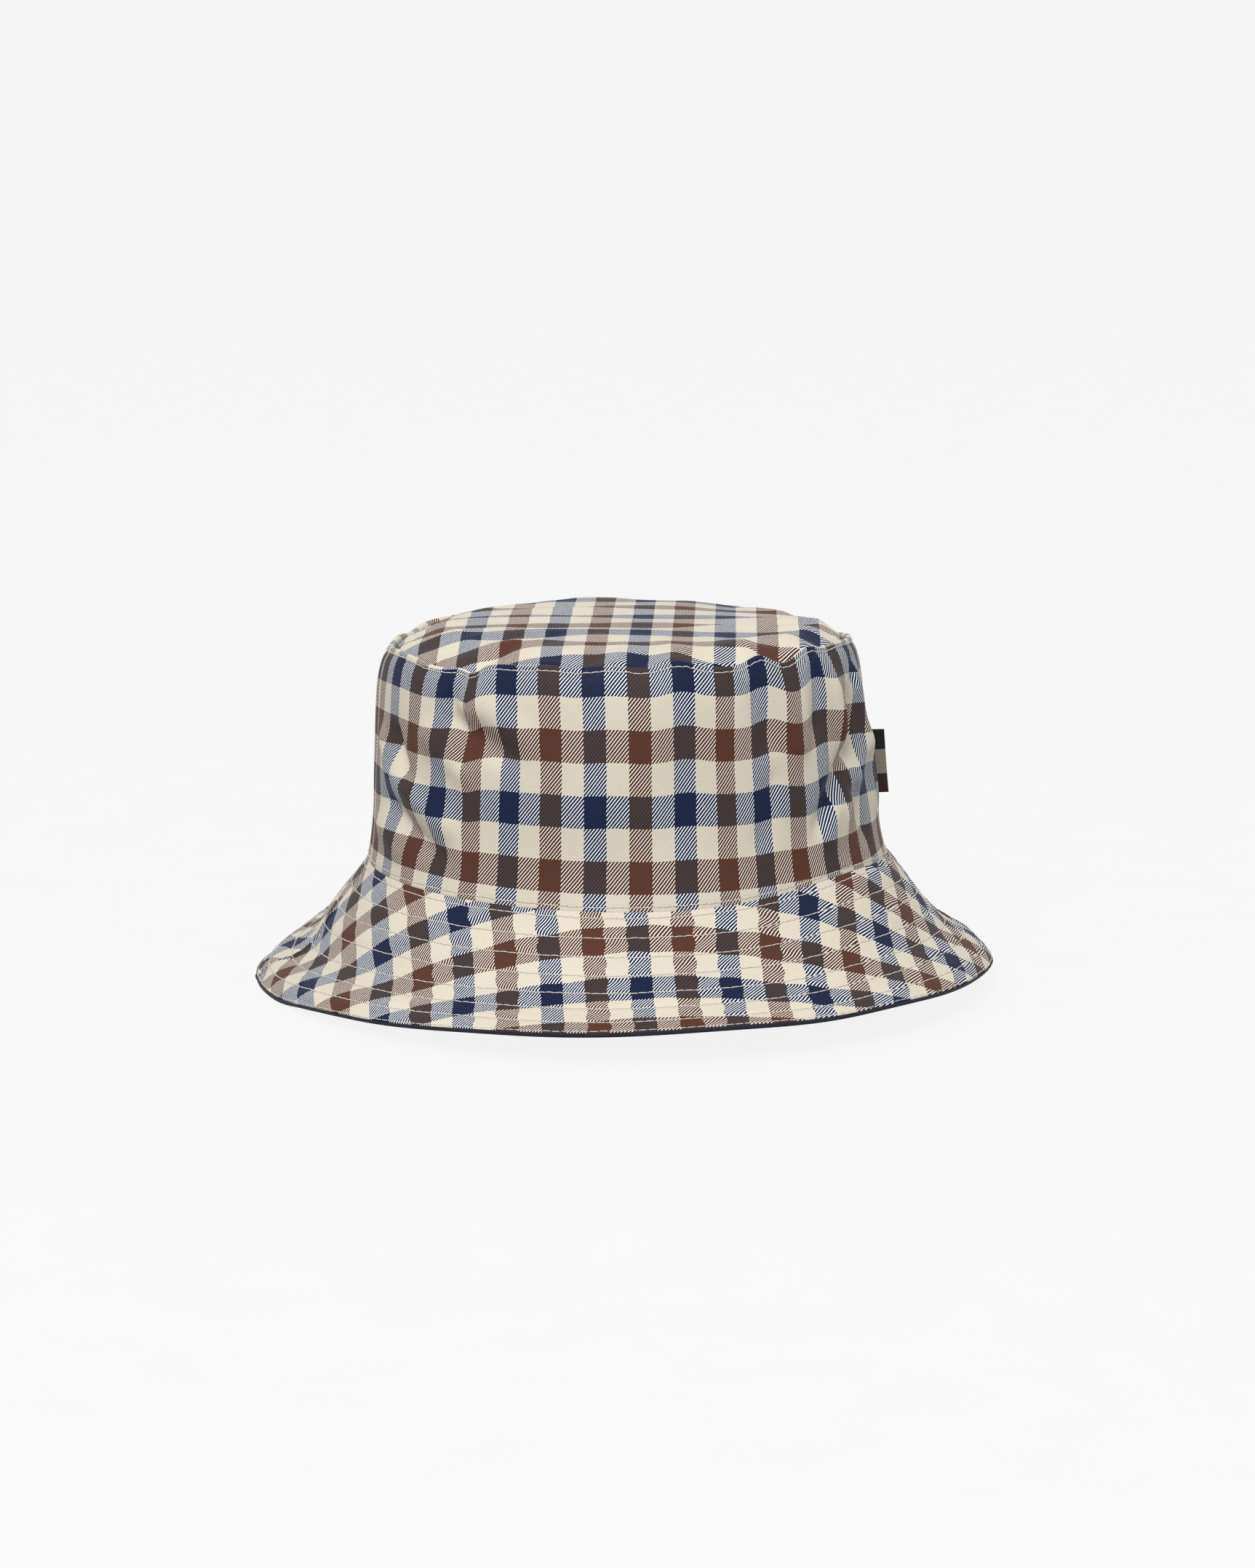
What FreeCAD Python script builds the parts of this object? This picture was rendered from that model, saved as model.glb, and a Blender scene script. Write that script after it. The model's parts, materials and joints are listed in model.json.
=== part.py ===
"""A soft bucket hat: a checked shell sewn to a plain lining, with a stitched brim.

The hat stands on the edge of its brim. The origin is under the middle of the crown, on the
plane the brim stands on, +Z is up, -Y is the front, and the side seams are at -X and +X.
Lengths are in millimetres and angles in degrees.
"""

import FreeCAD, Part

import math
import os

import Sketcher
from FreeCAD import Placement, Rotation, Vector

HALF = "hat.half_turn"
FULL = "360"
FRONT = 180.0  # a half ring is drawn at the back, and turned this far for the front
BACK = 0.0
LEFT = "left"
Y_AXIS, Z_AXIS = Vector(0, 1, 0), Vector(0, 0, 1)
ORIGIN_POINT = (-1, 1)
HORIZONTAL_AXIS, VERTICAL_AXIS = -1, -2

DIMENSIONS = {
    # the crown's wall, from the seam with the brim up to the seam with the tip
    "base_radius": 93.5,
    "wall_foot": 43.8,
    "band_top": 51.0,
    "waist_radius": 91.2,
    "waist_height": 60.0,
    "shoulder_radius": 88.2,
    "shoulder_height": 102.0,
    "shoulder_curve": 30.0,
    "wall_radius": 82.0,
    "wall_height": 121.0,
    # cloth and the air between two layers of it
    "shell_cloth": 0.8,
    "lining_cloth": 0.6,
    "layer_gap": 0.3,
    "half_turn": 179.8,
    # the tip, a shallow dome
    "tip_radius": 82.2,
    "tip_edge": 121.4,
    "tip_rise": 5.0,
    "tip_lining_radius": 80.9,
    "tip_lining_edge": 120.4,
    # the lining's wall
    "lining_foot": 41.0,
    "lining_top": 120.0,
    # the brim: a cone of three layers, each one lower than the last
    "brim_inner": 92.9,
    "brim_top": 43.4,
    "brim_angle": 41.1,
    "layer_radius": 139.2,
    "brim_cloth": 0.95,
    "brim_gap": 0.25,
    "interlining": 0.7,
    "lip_inner": 139.5,
    "rim_radius": 140.0,
    "lip_top": 2.7,
    # thread
    "thread": 0.22,
    "thread_clear": 0.03,
    "first_row": 3.2,
    "row_pitch": 8.5,
    "edge_row": 60.6,
    "base_row_height": 46.2,
    "tip_row_radius": 84.3,
    "tip_row_height": 118.9,
    "seam_thread": 0.1,
    # the loop of ribbon in the right side seam
    "tab_foot": 62.4,
    "tab_tall": 23.5,
    "tab_axis": 91.5,
    "tab_tilt": 4.1,
    "tab_start": 0.75,
    "tab_reach": 7.0,
    "tab_thick": 1.1,
    "tab_ribbon": 0.4,
    # the blank label inside, at the back
    "label_axis": 85.6,
    "label_height": 96.0,
    "label_wide": 22.0,
    "label_tall": 26.0,
    "label_thick": 0.3,
    "label_hang": 0.6,
}
STITCH_ROWS = 7

document = FreeCAD.newDocument("bucket_hat")
sheet = document.addObject("Spreadsheet::Sheet", "hat")
for line_number, (alias, value) in enumerate(DIMENSIONS.items(), start=1):
    sheet.set(f"A{line_number}", alias)
    sheet.set(f"B{line_number}", str(value))
    sheet.setAlias(f"B{line_number}", alias)
document.recompute()

nodes = []


def number(expression):
    """The value of an expression in the sheet's words."""
    value = sheet.evalExpression(expression)
    return float(getattr(value, "Value", value))


def name_node(piece, label):
    """Gives a finished sub-part its label, and keeps it for the export."""
    piece.Label = label
    nodes.append(piece)


# Outlines. A corner is (radius, height), or (radius, height, curve) where the edge that
# leaves it is an arc of that radius. The edge bulges to the right of its run, or to the
# left where a fourth item says LEFT.


def arc_through(start, end, radius):
    """An arc from start to end that bulges to the right of the run between them."""
    run = end - start
    half = run.Length / 2
    sagitta = radius - math.sqrt(radius**2 - half**2)
    outward = Vector(run.y, -run.x, 0).normalize()
    return Part.Arc(start, (start + end) / 2 + outward * sagitta, end)


def outline_edge(start, end, corner):
    """The shape of the edge that leaves a corner, and the vertices at its start and end."""
    if len(corner) == 2:
        return Part.LineSegment(start, end), 1, 2
    if corner[-1] == LEFT:
        return arc_through(end, start, number(corner[2])), 2, 1
    return arc_through(start, end, number(corner[2])), 1, 2


def place_corner(sketch, point, axis, expression):
    """Holds one coordinate of a corner at the value of an expression."""
    if expression == "0":
        on_axis = VERTICAL_AXIS if axis == "X" else HORIZONTAL_AXIS
        sketch.addConstraint(Sketcher.Constraint("PointOnObject", *point, on_axis))
        return
    distance = Sketcher.Constraint("Distance" + axis, *ORIGIN_POINT, *point, number(expression))
    index = sketch.addConstraint(distance)
    sketch.setExpression(f"Constraints[{index}]", expression)


def draw_outline(sketch, corners):
    """A closed, fully held outline of straight edges and arcs, run anticlockwise."""
    points = [Vector(number(corner[0]), number(corner[1]), 0) for corner in corners]
    firsts, lasts = [], []
    for index, corner in enumerate(corners):
        next_point = points[(index + 1) % len(points)]
        shape, first, last = outline_edge(points[index], next_point, corner)
        edge = sketch.addGeometry(shape)
        firsts.append((edge, first))
        lasts.append((edge, last))
    for index, corner in enumerate(corners):
        sketch.addConstraint(Sketcher.Constraint("Coincident", *lasts[index - 1], *firsts[index]))
        place_corner(sketch, firsts[index], "X", corner[0])
        place_corner(sketch, firsts[index], "Y", corner[1])
        if len(corner) > 2:
            held = Sketcher.Constraint("Radius", firsts[index][0], number(corner[2]))
            held_index = sketch.addConstraint(held)
            sketch.setExpression(f"Constraints[{held_index}]", corner[2])


def new_body(label, plane_role):
    """A body, and a sketch on one of the planes of its own origin."""
    body = document.addObject("PartDesign::Body", label)
    sketch = body.newObject("Sketcher::SketchObject", label + "_outline")
    plane = next(f for f in body.Origin.OriginFeatures if f.Role == plane_role)
    sketch.AttachmentSupport = [(plane, "")]
    sketch.MapMode = "FlatFace"
    return body, sketch


def turned_piece(label, corners, sweep, facing=BACK):
    """A ring or disc of cloth: an outline turned about the hat's own axis."""
    body, sketch = new_body(label, "YZ_Plane")
    draw_outline(sketch, corners)
    ring = body.newObject("PartDesign::Revolution", label + "_ring")
    ring.Profile = sketch
    ring.ReferenceAxis = (sketch, ["V_Axis"])
    ring.Midplane = True
    ring.setExpression("Angle", sweep)
    body.Placement = Placement(Vector(), Rotation(Z_AXIS, facing))
    name_node(body, label)


# The crown


def wall_outline(foot, top_height, inset, thickness):
    """The wall's cut, moved in by an inset from the crown's outside and given a thickness."""
    outer = f"- {inset}"
    inner = f"- {inset} - {thickness}"
    curve = "hat.shoulder_curve"
    return [
        (f"hat.base_radius {inner}", foot),
        (f"hat.base_radius {outer}", foot),
        (f"hat.base_radius {outer}", "hat.band_top"),
        (f"hat.waist_radius {outer}", "hat.waist_height"),
        (f"hat.shoulder_radius {outer}", "hat.shoulder_height", curve),
        (f"hat.wall_radius {outer}", top_height),
        (f"hat.wall_radius {inner}", top_height, curve, LEFT),
        (f"hat.shoulder_radius {inner}", "hat.shoulder_height"),
        (f"hat.waist_radius {inner}", "hat.waist_height"),
        (f"hat.base_radius {inner}", "hat.band_top"),
    ]


def dome_outline(radius, edge_height, thickness):
    """The cut of a round panel that rises a little towards its middle."""
    curve = f"({radius}^2 + hat.tip_rise^2) / (2 * hat.tip_rise)"
    return [
        ("0", f"{edge_height} + hat.tip_rise", curve, LEFT),
        (radius, edge_height),
        (radius, f"{edge_height} + {thickness}", curve),
        ("0", f"{edge_height} + {thickness} + hat.tip_rise"),
    ]


def make_crown():
    """Two wall panels, the round tip, and the lining of each."""
    panel = wall_outline("hat.wall_foot", "hat.wall_height", "0", "hat.shell_cloth")
    turned_piece("side_panel_front", panel, HALF, FRONT)
    turned_piece("side_panel_back", panel, HALF, BACK)
    lining_inset = "(hat.shell_cloth + hat.layer_gap)"
    lining = wall_outline("hat.lining_foot", "hat.lining_top", lining_inset, "hat.lining_cloth")
    turned_piece("side_lining", lining, FULL)
    turned_piece("tip_outer", dome_outline("hat.tip_radius", "hat.tip_edge", "hat.shell_cloth"), FULL)
    tip_lining = dome_outline("hat.tip_lining_radius", "hat.tip_lining_edge", "hat.lining_cloth")
    turned_piece("tip_lining", tip_lining, FULL)


# The brim


def brim_height(radius, drop):
    """The height of the brim's slope at a radius, a given drop under its top face."""
    slope = "tan(hat.brim_angle * 1 deg)"
    return f"hat.brim_top - ({radius} - hat.brim_inner) * {slope} - {drop}"


def layer_outline(drop, thickness):
    """The cut of one flat layer of the brim."""
    below = f"({drop} + {thickness})"
    return [
        ("hat.brim_inner", brim_height("hat.brim_inner", below)),
        ("hat.layer_radius", brim_height("hat.layer_radius", below)),
        ("hat.layer_radius", brim_height("hat.layer_radius", drop)),
        ("hat.brim_inner", brim_height("hat.brim_inner", drop)),
    ]


def under_outline(drop, thickness):
    """The cut of the under-brim, which rolls up over the edge of the layers above it."""
    below = f"({drop} + {thickness})"
    foot = f"hat.brim_inner + (hat.brim_top - {below}) / tan(hat.brim_angle * 1 deg)"
    return [
        ("hat.brim_inner", brim_height("hat.brim_inner", below)),
        (foot, "0"),
        ("hat.rim_radius", "0"),
        ("hat.rim_radius", "hat.lip_top"),
        ("hat.lip_inner", "hat.lip_top"),
        ("hat.lip_inner", brim_height("hat.lip_inner", drop)),
        ("hat.brim_inner", brim_height("hat.brim_inner", drop)),
    ]


def make_brim():
    """The brim's layers from the top down, each in a front and a back half."""
    interlining_drop = "(hat.brim_cloth + hat.brim_gap)"
    under_drop = "(hat.brim_cloth + 2 * hat.brim_gap + hat.interlining)"
    layers = {
        "brim_top": layer_outline("0", "hat.brim_cloth"),
        "brim_interlining": layer_outline(interlining_drop, "hat.interlining"),
        "brim_under": under_outline(under_drop, "hat.brim_cloth"),
    }
    for layer, outline in layers.items():
        turned_piece(layer + "_front", outline, HALF, FRONT)
        turned_piece(layer + "_back", outline, HALF, BACK)


# Thread


def thread_ring(label, radius, height):
    """A row of stitches, as a ring of thread."""
    ring = document.addObject("Part::Torus", label)
    ring.setExpression("Radius1", radius)
    ring.setExpression("Radius2", "hat.thread")
    ring.setExpression("Placement.Base.z", height)
    return ring


def make_brim_rows():
    """Each row through the brim: one run of thread on top, and one underneath."""
    lift = "(hat.thread + hat.thread_clear)"
    total_drop = "(2 * hat.brim_cloth + 2 * hat.brim_gap + hat.interlining)"
    angle = "(hat.brim_angle * 1 deg)"
    for row in range(STITCH_ROWS):
        along = f"(hat.first_row + {row} * hat.row_pitch)"
        radius = f"hat.brim_inner + {along} * cos{angle}"
        height = f"hat.brim_top - {along} * sin{angle}"
        label = f"brim_stitch_row_{row + 1}"
        out, up = f"{lift} * sin{angle}", f"{lift} * cos{angle}"
        above = thread_ring(label + "_above", f"{radius} + {out}", f"{height} + {up}")
        below = thread_ring(
            label + "_below", f"{radius} - {out}", f"{height} - {total_drop} - {up}"
        )
        rows = document.addObject("Part::Compound", label)
        rows.Links = [above, below]
        name_node(rows, label)
    edge_radius = f"hat.brim_inner + hat.edge_row * cos{angle} + {lift} * sin{angle}"
    edge_height = f"hat.brim_top - hat.edge_row * sin{angle} + {lift} * cos{angle}"
    name_node(thread_ring("edge_row_ring", edge_radius, edge_height), "brim_edge_stitch")


def make_crown_rows():
    """The rows beside the seams at the foot and at the top of the crown's wall."""
    base_radius = "hat.base_radius + hat.thread + hat.thread_clear"
    name_node(thread_ring("base_ring", base_radius, "hat.base_row_height"), "base_topstitch")
    tip_ring = thread_ring("tip_ring", "hat.tip_row_radius", "hat.tip_row_height")
    name_node(tip_ring, "tip_topstitch")


def seam_thread(label, side, start, end):
    """A straight seam's thread, between (radius, height) and (radius, height) on one side."""
    run = Vector(side * (end[0] - start[0]), 0, end[1] - start[1])
    thread = document.addObject("Part::Cylinder", label + "_thread")
    thread.setExpression("Radius", "hat.seam_thread")
    thread.Height = run.Length
    thread.Placement = Placement(Vector(side * start[0], 0, start[1]), Rotation(Z_AXIS, run))
    name_node(thread, label)


def make_side_seams():
    """The seams that join the front and back panels of the wall and of the brim."""
    half_cloth = number("hat.shell_cloth") / 2
    low = (number("hat.waist_radius") - half_cloth, number("hat.waist_height"))
    high = (number("hat.shoulder_radius") - half_cloth, number("hat.shoulder_height"))
    inset = 1.5
    inner = number("hat.brim_inner") + inset
    outer = number("hat.layer_radius") - inset
    half_drop = "hat.brim_cloth / 2"
    brim_start = (inner, number(brim_height(f"{inner}", half_drop)))
    brim_end = (outer, number(brim_height(f"{outer}", half_drop)))
    for name, side in (("left", -1), ("right", 1)):
        seam_thread(f"side_seam_thread_{name}", side, low, high)
        seam_thread(f"brim_seam_thread_{name}", side, brim_start, brim_end)


# The loop and the label


def make_tab():
    """A loop of ribbon that stands out of the right side seam, and the thread it swings on."""
    tilt = Rotation(Y_AXIS, -number("hat.tab_tilt"))
    seat = Placement(Vector(number("hat.tab_axis"), 0, number("hat.tab_foot")), tilt)

    tack = document.addObject("Part::Cylinder", "tab_tack_thread")
    tack.setExpression("Radius", "hat.thread")
    tack.setExpression("Height", "hat.tab_tall")
    tack.Placement = seat
    name_node(tack, "tab_tack")

    body, sketch = new_body("side_tab", "XY_Plane")
    fold = "hat.tab_start + hat.tab_reach"
    half, half_gap = "hat.tab_thick / 2", "(hat.tab_thick / 2 - hat.tab_ribbon)"
    draw_outline(
        sketch,
        [
            ("hat.tab_start", f"-{half}"),
            (fold, f"-{half}"),
            (fold, half),
            ("hat.tab_start", half),
            ("hat.tab_start", half_gap),
            (f"{fold} - hat.tab_ribbon", half_gap),
            (f"{fold} - hat.tab_ribbon", f"-{half_gap}"),
            ("hat.tab_start", f"-{half_gap}"),
        ],
    )
    ribbon = body.newObject("PartDesign::Pad", "side_tab_ribbon")
    ribbon.Profile = sketch
    ribbon.setExpression("Length", "hat.tab_tall")
    body.Placement = seat
    name_node(body, "side_tab")


def make_label():
    """A blank label that hangs inside the back of the crown from one line of thread."""
    line = document.addObject("Part::Cylinder", "label_thread")
    line.setExpression("Radius", "hat.thread")
    line.setExpression("Height", "hat.label_wide")
    across = Rotation(Y_AXIS, 90)
    line.Placement = Placement(Vector(), across)
    line.setExpression("Placement.Base.x", "-hat.label_wide / 2")
    line.setExpression("Placement.Base.y", "hat.label_axis")
    line.setExpression("Placement.Base.z", "hat.label_height")
    name_node(line, "label_stitch")

    label = document.addObject("Part::Box", "label_ribbon")
    label.setExpression("Length", "hat.label_wide")
    label.setExpression("Width", "hat.label_thick")
    label.setExpression("Height", "hat.label_tall")
    label.setExpression("Placement.Base.x", "-hat.label_wide / 2")
    label.setExpression("Placement.Base.y", "hat.label_axis - hat.label_thick / 2")
    label.setExpression("Placement.Base.z", "hat.label_height - hat.label_hang - hat.label_tall")
    name_node(label, "inner_label")


def check_document():
    """Stops if a feature failed or a sub-part isn't a sound solid."""
    for thing in document.Objects:
        if "Invalid" in thing.State or "Error" in thing.State:
            raise RuntimeError(f"{thing.Label} did not compute: {thing.State}")
    for node in nodes:
        if node.Shape.isNull() or not node.Shape.isValid() or node.Shape.Volume <= 0:
            raise RuntimeError(f"{node.Label} is not a sound solid")


def export_nodes():
    """One file for each sub-part, named after it."""
    os.makedirs("parts", exist_ok=True)
    for node in nodes:
        node.Shape.exportStep(f"parts/{node.Label}.step")
        print(f"{node.Label:24s} {node.Shape.Volume:10.1f} mm3, {len(node.Shape.Solids)} solid(s)")


make_crown()
make_brim()
make_brim_rows()
make_crown_rows()
make_side_seams()
make_tab()
make_label()
document.recompute()
check_document()
export_nodes()
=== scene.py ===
"""A soft bucket hat in two-colour check cloth, with a plain navy lining and a stitched brim.

Every surface is a function of two places on the cloth, so cloth, linings, print and stitches
all come from the same shape. On the crown and the brim they are an azimuth, which is 0 at the
front (-Y) and grows towards the right side seam (+X), and a distance in millimetres.
"""

import json
import math

import bmesh
import bpy
import numpy as np
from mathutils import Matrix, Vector


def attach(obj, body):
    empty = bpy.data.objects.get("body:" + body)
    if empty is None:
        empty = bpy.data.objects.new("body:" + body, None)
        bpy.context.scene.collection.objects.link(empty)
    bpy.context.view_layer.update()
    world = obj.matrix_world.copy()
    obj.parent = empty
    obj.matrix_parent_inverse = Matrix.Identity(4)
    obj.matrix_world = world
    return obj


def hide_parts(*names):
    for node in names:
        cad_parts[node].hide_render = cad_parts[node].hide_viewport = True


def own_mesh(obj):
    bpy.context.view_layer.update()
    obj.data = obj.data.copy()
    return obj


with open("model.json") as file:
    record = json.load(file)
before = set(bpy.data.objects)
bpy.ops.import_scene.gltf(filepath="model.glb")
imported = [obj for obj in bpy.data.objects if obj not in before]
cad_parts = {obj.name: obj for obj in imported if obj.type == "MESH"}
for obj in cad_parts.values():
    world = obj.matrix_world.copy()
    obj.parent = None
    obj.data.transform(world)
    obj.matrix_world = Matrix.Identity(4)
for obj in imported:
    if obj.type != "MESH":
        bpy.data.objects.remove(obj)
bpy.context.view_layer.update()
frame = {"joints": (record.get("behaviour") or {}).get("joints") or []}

MM = 0.001
SEED = 7

# ---------------- sizes, in millimetres

QUARTER_TURN = math.pi / 2
PANEL_STEPS = 300  # round half the hat
FRONT_SPAN = np.linspace(-QUARTER_TURN, QUARTER_TURN, PANEL_STEPS)
BACK_SPAN = FRONT_SPAN + math.pi
FULL_SPAN = np.linspace(-math.pi, math.pi, 2 * PANEL_STEPS + 1)
SEAMS_AT = (-90, 90)  # the side seams, in degrees

SHELL, LINING, LAYER_GAP = 0.5, 0.4, 0.15
STITCH = 3.1
THREAD, FINE_THREAD, SEAM_THREAD = 0.2, 0.15, 0.12  # radii
COLUMN_PERIOD, ROW_PERIOD = 31.0, 45.6  # of the check

CROWN_ROUND = 90.5  # the radius that the wall's cloth is measured at
WALL_CLOTH = 87.2
BASE_TOPSTITCH, TIP_TOPSTITCH = 1.3, WALL_CLOTH - 2.1  # how far up the wall they lie
LEAN = 2.8  # how far the crown's top leans towards the left

BRIM_WIDE = 61.5
BRIM_START = 93.4  # the radius of the seam between crown and brim
BRIM_SPREAD = 0.745  # how much the brim's radius grows for each millimetre of cloth
ROW_FIRST, ROW_PITCH, ROWS = 3.2, 8.5, 7

# ---------------- helpers


def frame_point(joint_name):
    """The distance out and the height of a joint's axis, in millimetres."""
    place_at = next(j for j in frame["joints"] if j["name"] == joint_name)["pos_m"]
    return math.hypot(place_at[0], place_at[1]) / MM, place_at[2] / MM


def spline(xs, ys, x):
    """A smooth curve through knots, by cubic pieces."""
    slopes = np.gradient(ys, xs)
    i = np.clip(np.searchsorted(xs, x) - 1, 0, len(xs) - 2)
    wide = xs[i + 1] - xs[i]
    t = (x - xs[i]) / wide
    value = ys[i] * (2 * t**3 - 3 * t**2 + 1) + ys[i + 1] * (3 * t**2 - 2 * t**3)
    return value + wide * (slopes[i] * (t**3 - 2 * t**2 + t) + slopes[i + 1] * (t**3 - t**2))


def bump(x, middle, width):
    """1 in the middle, falling smoothly to 0 on both sides."""
    return np.exp(-(((x - middle) / width) ** 2))


def ramp(x):
    """A smooth step from 0 to 1."""
    return (np.tanh(x) + 1) / 2


def turn_gap(phi, at_degrees):
    """The angle from an azimuth, in degrees, the short way round."""
    return (np.degrees(phi) - at_degrees + 180.0) % 360.0 - 180.0


def turn_bump(phi, at_degrees, width):
    """1 at an azimuth, falling smoothly to 0 on both sides."""
    return bump(turn_gap(phi, at_degrees), 0, width)


def humps(phi, table):
    """A sum of rises and dips round the hat: (degrees, width in degrees, millimetres)."""
    return sum(high * turn_bump(phi, at, wide) for at, wide, high in table)


def outward(phi):
    """The direction straight out from the hat's axis."""
    return np.sin(phi), -np.cos(phi)


def front_and_back(phi):
    """How much a place faces the front, and the back: 1 at its middle, 0 at the side seams."""
    ahead = np.cos(phi)
    return np.clip(ahead, 0, 1) ** 2, np.clip(-ahead, 0, 1) ** 2


def points_at(x, y, z):
    """Points from coordinates whose shapes fit together."""
    return np.stack(np.broadcast_arrays(x, y, z), axis=-1)


# ---------------- the crown's seams

SEAM_LEVEL, SEAM_FRONT_DROP, SEAM_BACK_DROP = 42.9, 1.8, 1.0
TOP_LEVEL, TOP_FRONT_RISE, TOP_BACK_RISE = 120.6, 1.1, 0.6
SIDE_LIFT = [(46, 27, 4.8)]  # how much higher the hat is held at its front right

# Where the tip's seam rises and dips: (degrees, width in degrees, millimetres).
SEAM_WAVES = [
    (-58, 11, -2.4), (-46.5, 3, -2.4), (-38, 7, 1.0), (-26, 6, 1.3), (-11, 7, 1.5),
    (5, 5.5, 2.9), (26.5, 4, 3.0), (35, 3.5, -0.8), (43, 5, 3.0), (56, 12, 3.0), (75, 14, 1.5),
    (104, 12, -2.0), (140, 12, 1.4), (165, 7, -1.0), (185, 9, 1.2), (207, 6, -1.6),
    (222, 8, 0.2), (240, 6, -1.8), (258, 14, -2.4),
]


def seam_height(phi):
    """The height of the seam between crown and brim."""
    front, back = front_and_back(phi)
    return SEAM_LEVEL - SEAM_FRONT_DROP * front - SEAM_BACK_DROP * back + humps(phi, SIDE_LIFT)


def top_height(phi):
    """The height of the tip's seam."""
    front, back = front_and_back(phi)
    return TOP_LEVEL + TOP_FRONT_RISE * front + TOP_BACK_RISE * back + humps(phi, SEAM_WAVES)


def crown_point(phi, radius, height, share):
    """A point of the crown, which leans a little more the higher it is."""
    x, y = outward(phi)
    return points_at(radius * x - LEAN * np.clip(share, 0, 1), radius * y, height)


# ---------------- the crown's wall

# The wall's cut, (radius, share of the crown's height), from the fold over the brim,
# up the wall and over the ridge of the tip's seam.
WALL_CUT = np.array([
    (92.4, 0.004), (93.1, -0.012), (93.8, -0.014), (94.1, -0.002), (93.9, 0.018), (93.5, 0.034),
    (93.1, 0.055), (92.3, 0.11), (91.3, 0.21), (90.4, 0.42), (89.2, 0.62), (88.5, 0.72),
    (87.7, 0.82), (87.0, 0.875), (86.0, 0.925), (84.9, 0.962), (83.9, 0.982), (83.5, 0.993),
    (83.4, 1.004), (82.8, 1.012), (81.8, 1.012), (81.1, 1.000), (80.8, 0.983),
])
WALL_START, WALL_END = 3, 19  # the knots at the fold's outside and at the top of the ridge
CROWN_TALL = 79.0  # the height that the cut's cloth is measured at

# Creases in the wall: (from degrees, from mm up, to degrees, to mm up, width mm, depth mm).
# A negative depth is a valley.
FRONT_CREASES = [
    (-56, 74, -32, 49, 4.5, -3.0), (-51, 82, -26, 55, 6.0, 1.8), (-64, 66, -42, 42, 6.0, 2.2),
    (-76, 62, -65, 37, 3.8, -3.0), (-84, 58, -72, 34, 4.5, 1.6), (-82, 32, -48, 8, 4.5, -3.6),
    (-76, 44, -46, 20, 5.5, 2.6), (-88, 22, -62, 4, 5.0, 2.0),
    (-47, 86, -53, 70, 3.0, -2.2), (-40, 86, -45, 66, 4.5, 1.0),
    (22, 86, 26, 48, 4.0, -1.5), (27, 50, 21, 12, 4.5, -1.3), (31, 82, 35, 44, 4.5, 1.3),
    (43, 86, 41, 50, 4.0, -2.4), (61, 62, 35, 13, 4.5, -3.2), (69, 56, 45, 10, 5.0, 2.2),
    (49, 82, 53, 36, 4.5, 3.0), (58, 72, 53, 36, 4.0, -3.4), (53, 36, 61, 6, 4.5, -3.0),
    (64, 82, 67, 34, 4.5, 2.8), (66, 84, 60, 68, 3.0, -2.6), (70, 60, 68, 12, 5.0, 2.2),
    (76, 82, 74, 40, 4.0, -2.4), (84, 60, 80, 10, 5.0, 2.0), (47, 30, 40, 8, 5.0, 1.8),
]
BACK_CREASES = 16
BACK_FROM, BACK_SPREAD = 108, 144  # degrees
BACK_CREASE_WIDE = 5.0
CREASE_CORE, CREASE_FADE = 0.45, 0.11  # the share of a crease at its full depth, and its fading

# The wall's slow waves: (how many round, millimetres, phase, change of phase per mm up).
SLOW_WAVES = [(3, 0.5, 0.9, 0.0), (7, 0.35, 0.0, -0.06)]
SLACK = 0.6  # how soon the wall's cloth is loose, away from its seams
BEHIND_LABEL, CALM = (180, 16, 44, 26), 0.9  # where the creases are weaker, and by how much
RIGHT_HOLLOW, HOLLOW_DEEP = (82, 28, 46, 24), 1.4  # where the wall falls in, and by how much
SEAM_GROOVE_DEEP, SEAM_GROOVE_WIDE = 0.7, 0.5  # millimetres, degrees
STITCH_GROOVE_DEEP, STITCH_GROOVE_WIDE = 0.25, 0.8  # millimetres


def measured_along(cut):
    """How far along the cloth each knot of the wall's cut lies, from the fold's outside."""
    steps = np.hypot(np.diff(cut[:, 0]), np.diff(cut[:, 1]) * CROWN_TALL)
    along = np.concatenate([[0.0], np.cumsum(steps)])
    along -= along[WALL_START]
    return along * (WALL_CLOTH / along[WALL_END])


def back_creases():
    """Creases behind the side seams, about as deep as those at the front."""
    chosen = np.random.default_rng(SEED)
    found = []
    for i in range(BACK_CREASES):
        turn = BACK_FROM + i * BACK_SPREAD / (BACK_CREASES - 1) + chosen.uniform(-4, 4)
        top = chosen.uniform(52, 84)
        bottom = top - chosen.uniform(24, 46)
        drift = chosen.uniform(4, 22) * math.copysign(1, turn - 180)
        depth = chosen.uniform(1.2, 2.6) * (-1) ** i
        found.append((turn + drift / 2, top, turn - drift / 2, bottom, BACK_CREASE_WIDE, depth))
    return found


WALL_ALONG = measured_along(WALL_CUT)
CREASES = FRONT_CREASES + back_creases()


def crease_depth(phi, up):
    """How far the wall's creases move the cloth out, in millimetres."""
    total = 0.0
    for from_turn, from_up, to_turn, to_up, width, depth in CREASES:
        middle_turn = (from_turn + to_turn) / 2
        x = np.radians(turn_gap(phi, middle_turn)) * CROWN_ROUND
        half_x = math.radians(to_turn - from_turn) / 2 * CROWN_ROUND
        half_y = (to_up - from_up) / 2
        y = up - (from_up + to_up) / 2
        reach = math.hypot(half_x, half_y)
        along = (x * half_x + y * half_y) / reach
        across = (x * half_y - y * half_x) / reach
        past = np.clip(np.abs(along) / reach - CREASE_CORE, 0, None)
        total = total + depth * bump(across, 0, width) * np.exp(-(past**2) / CREASE_FADE)
    return total


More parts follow.
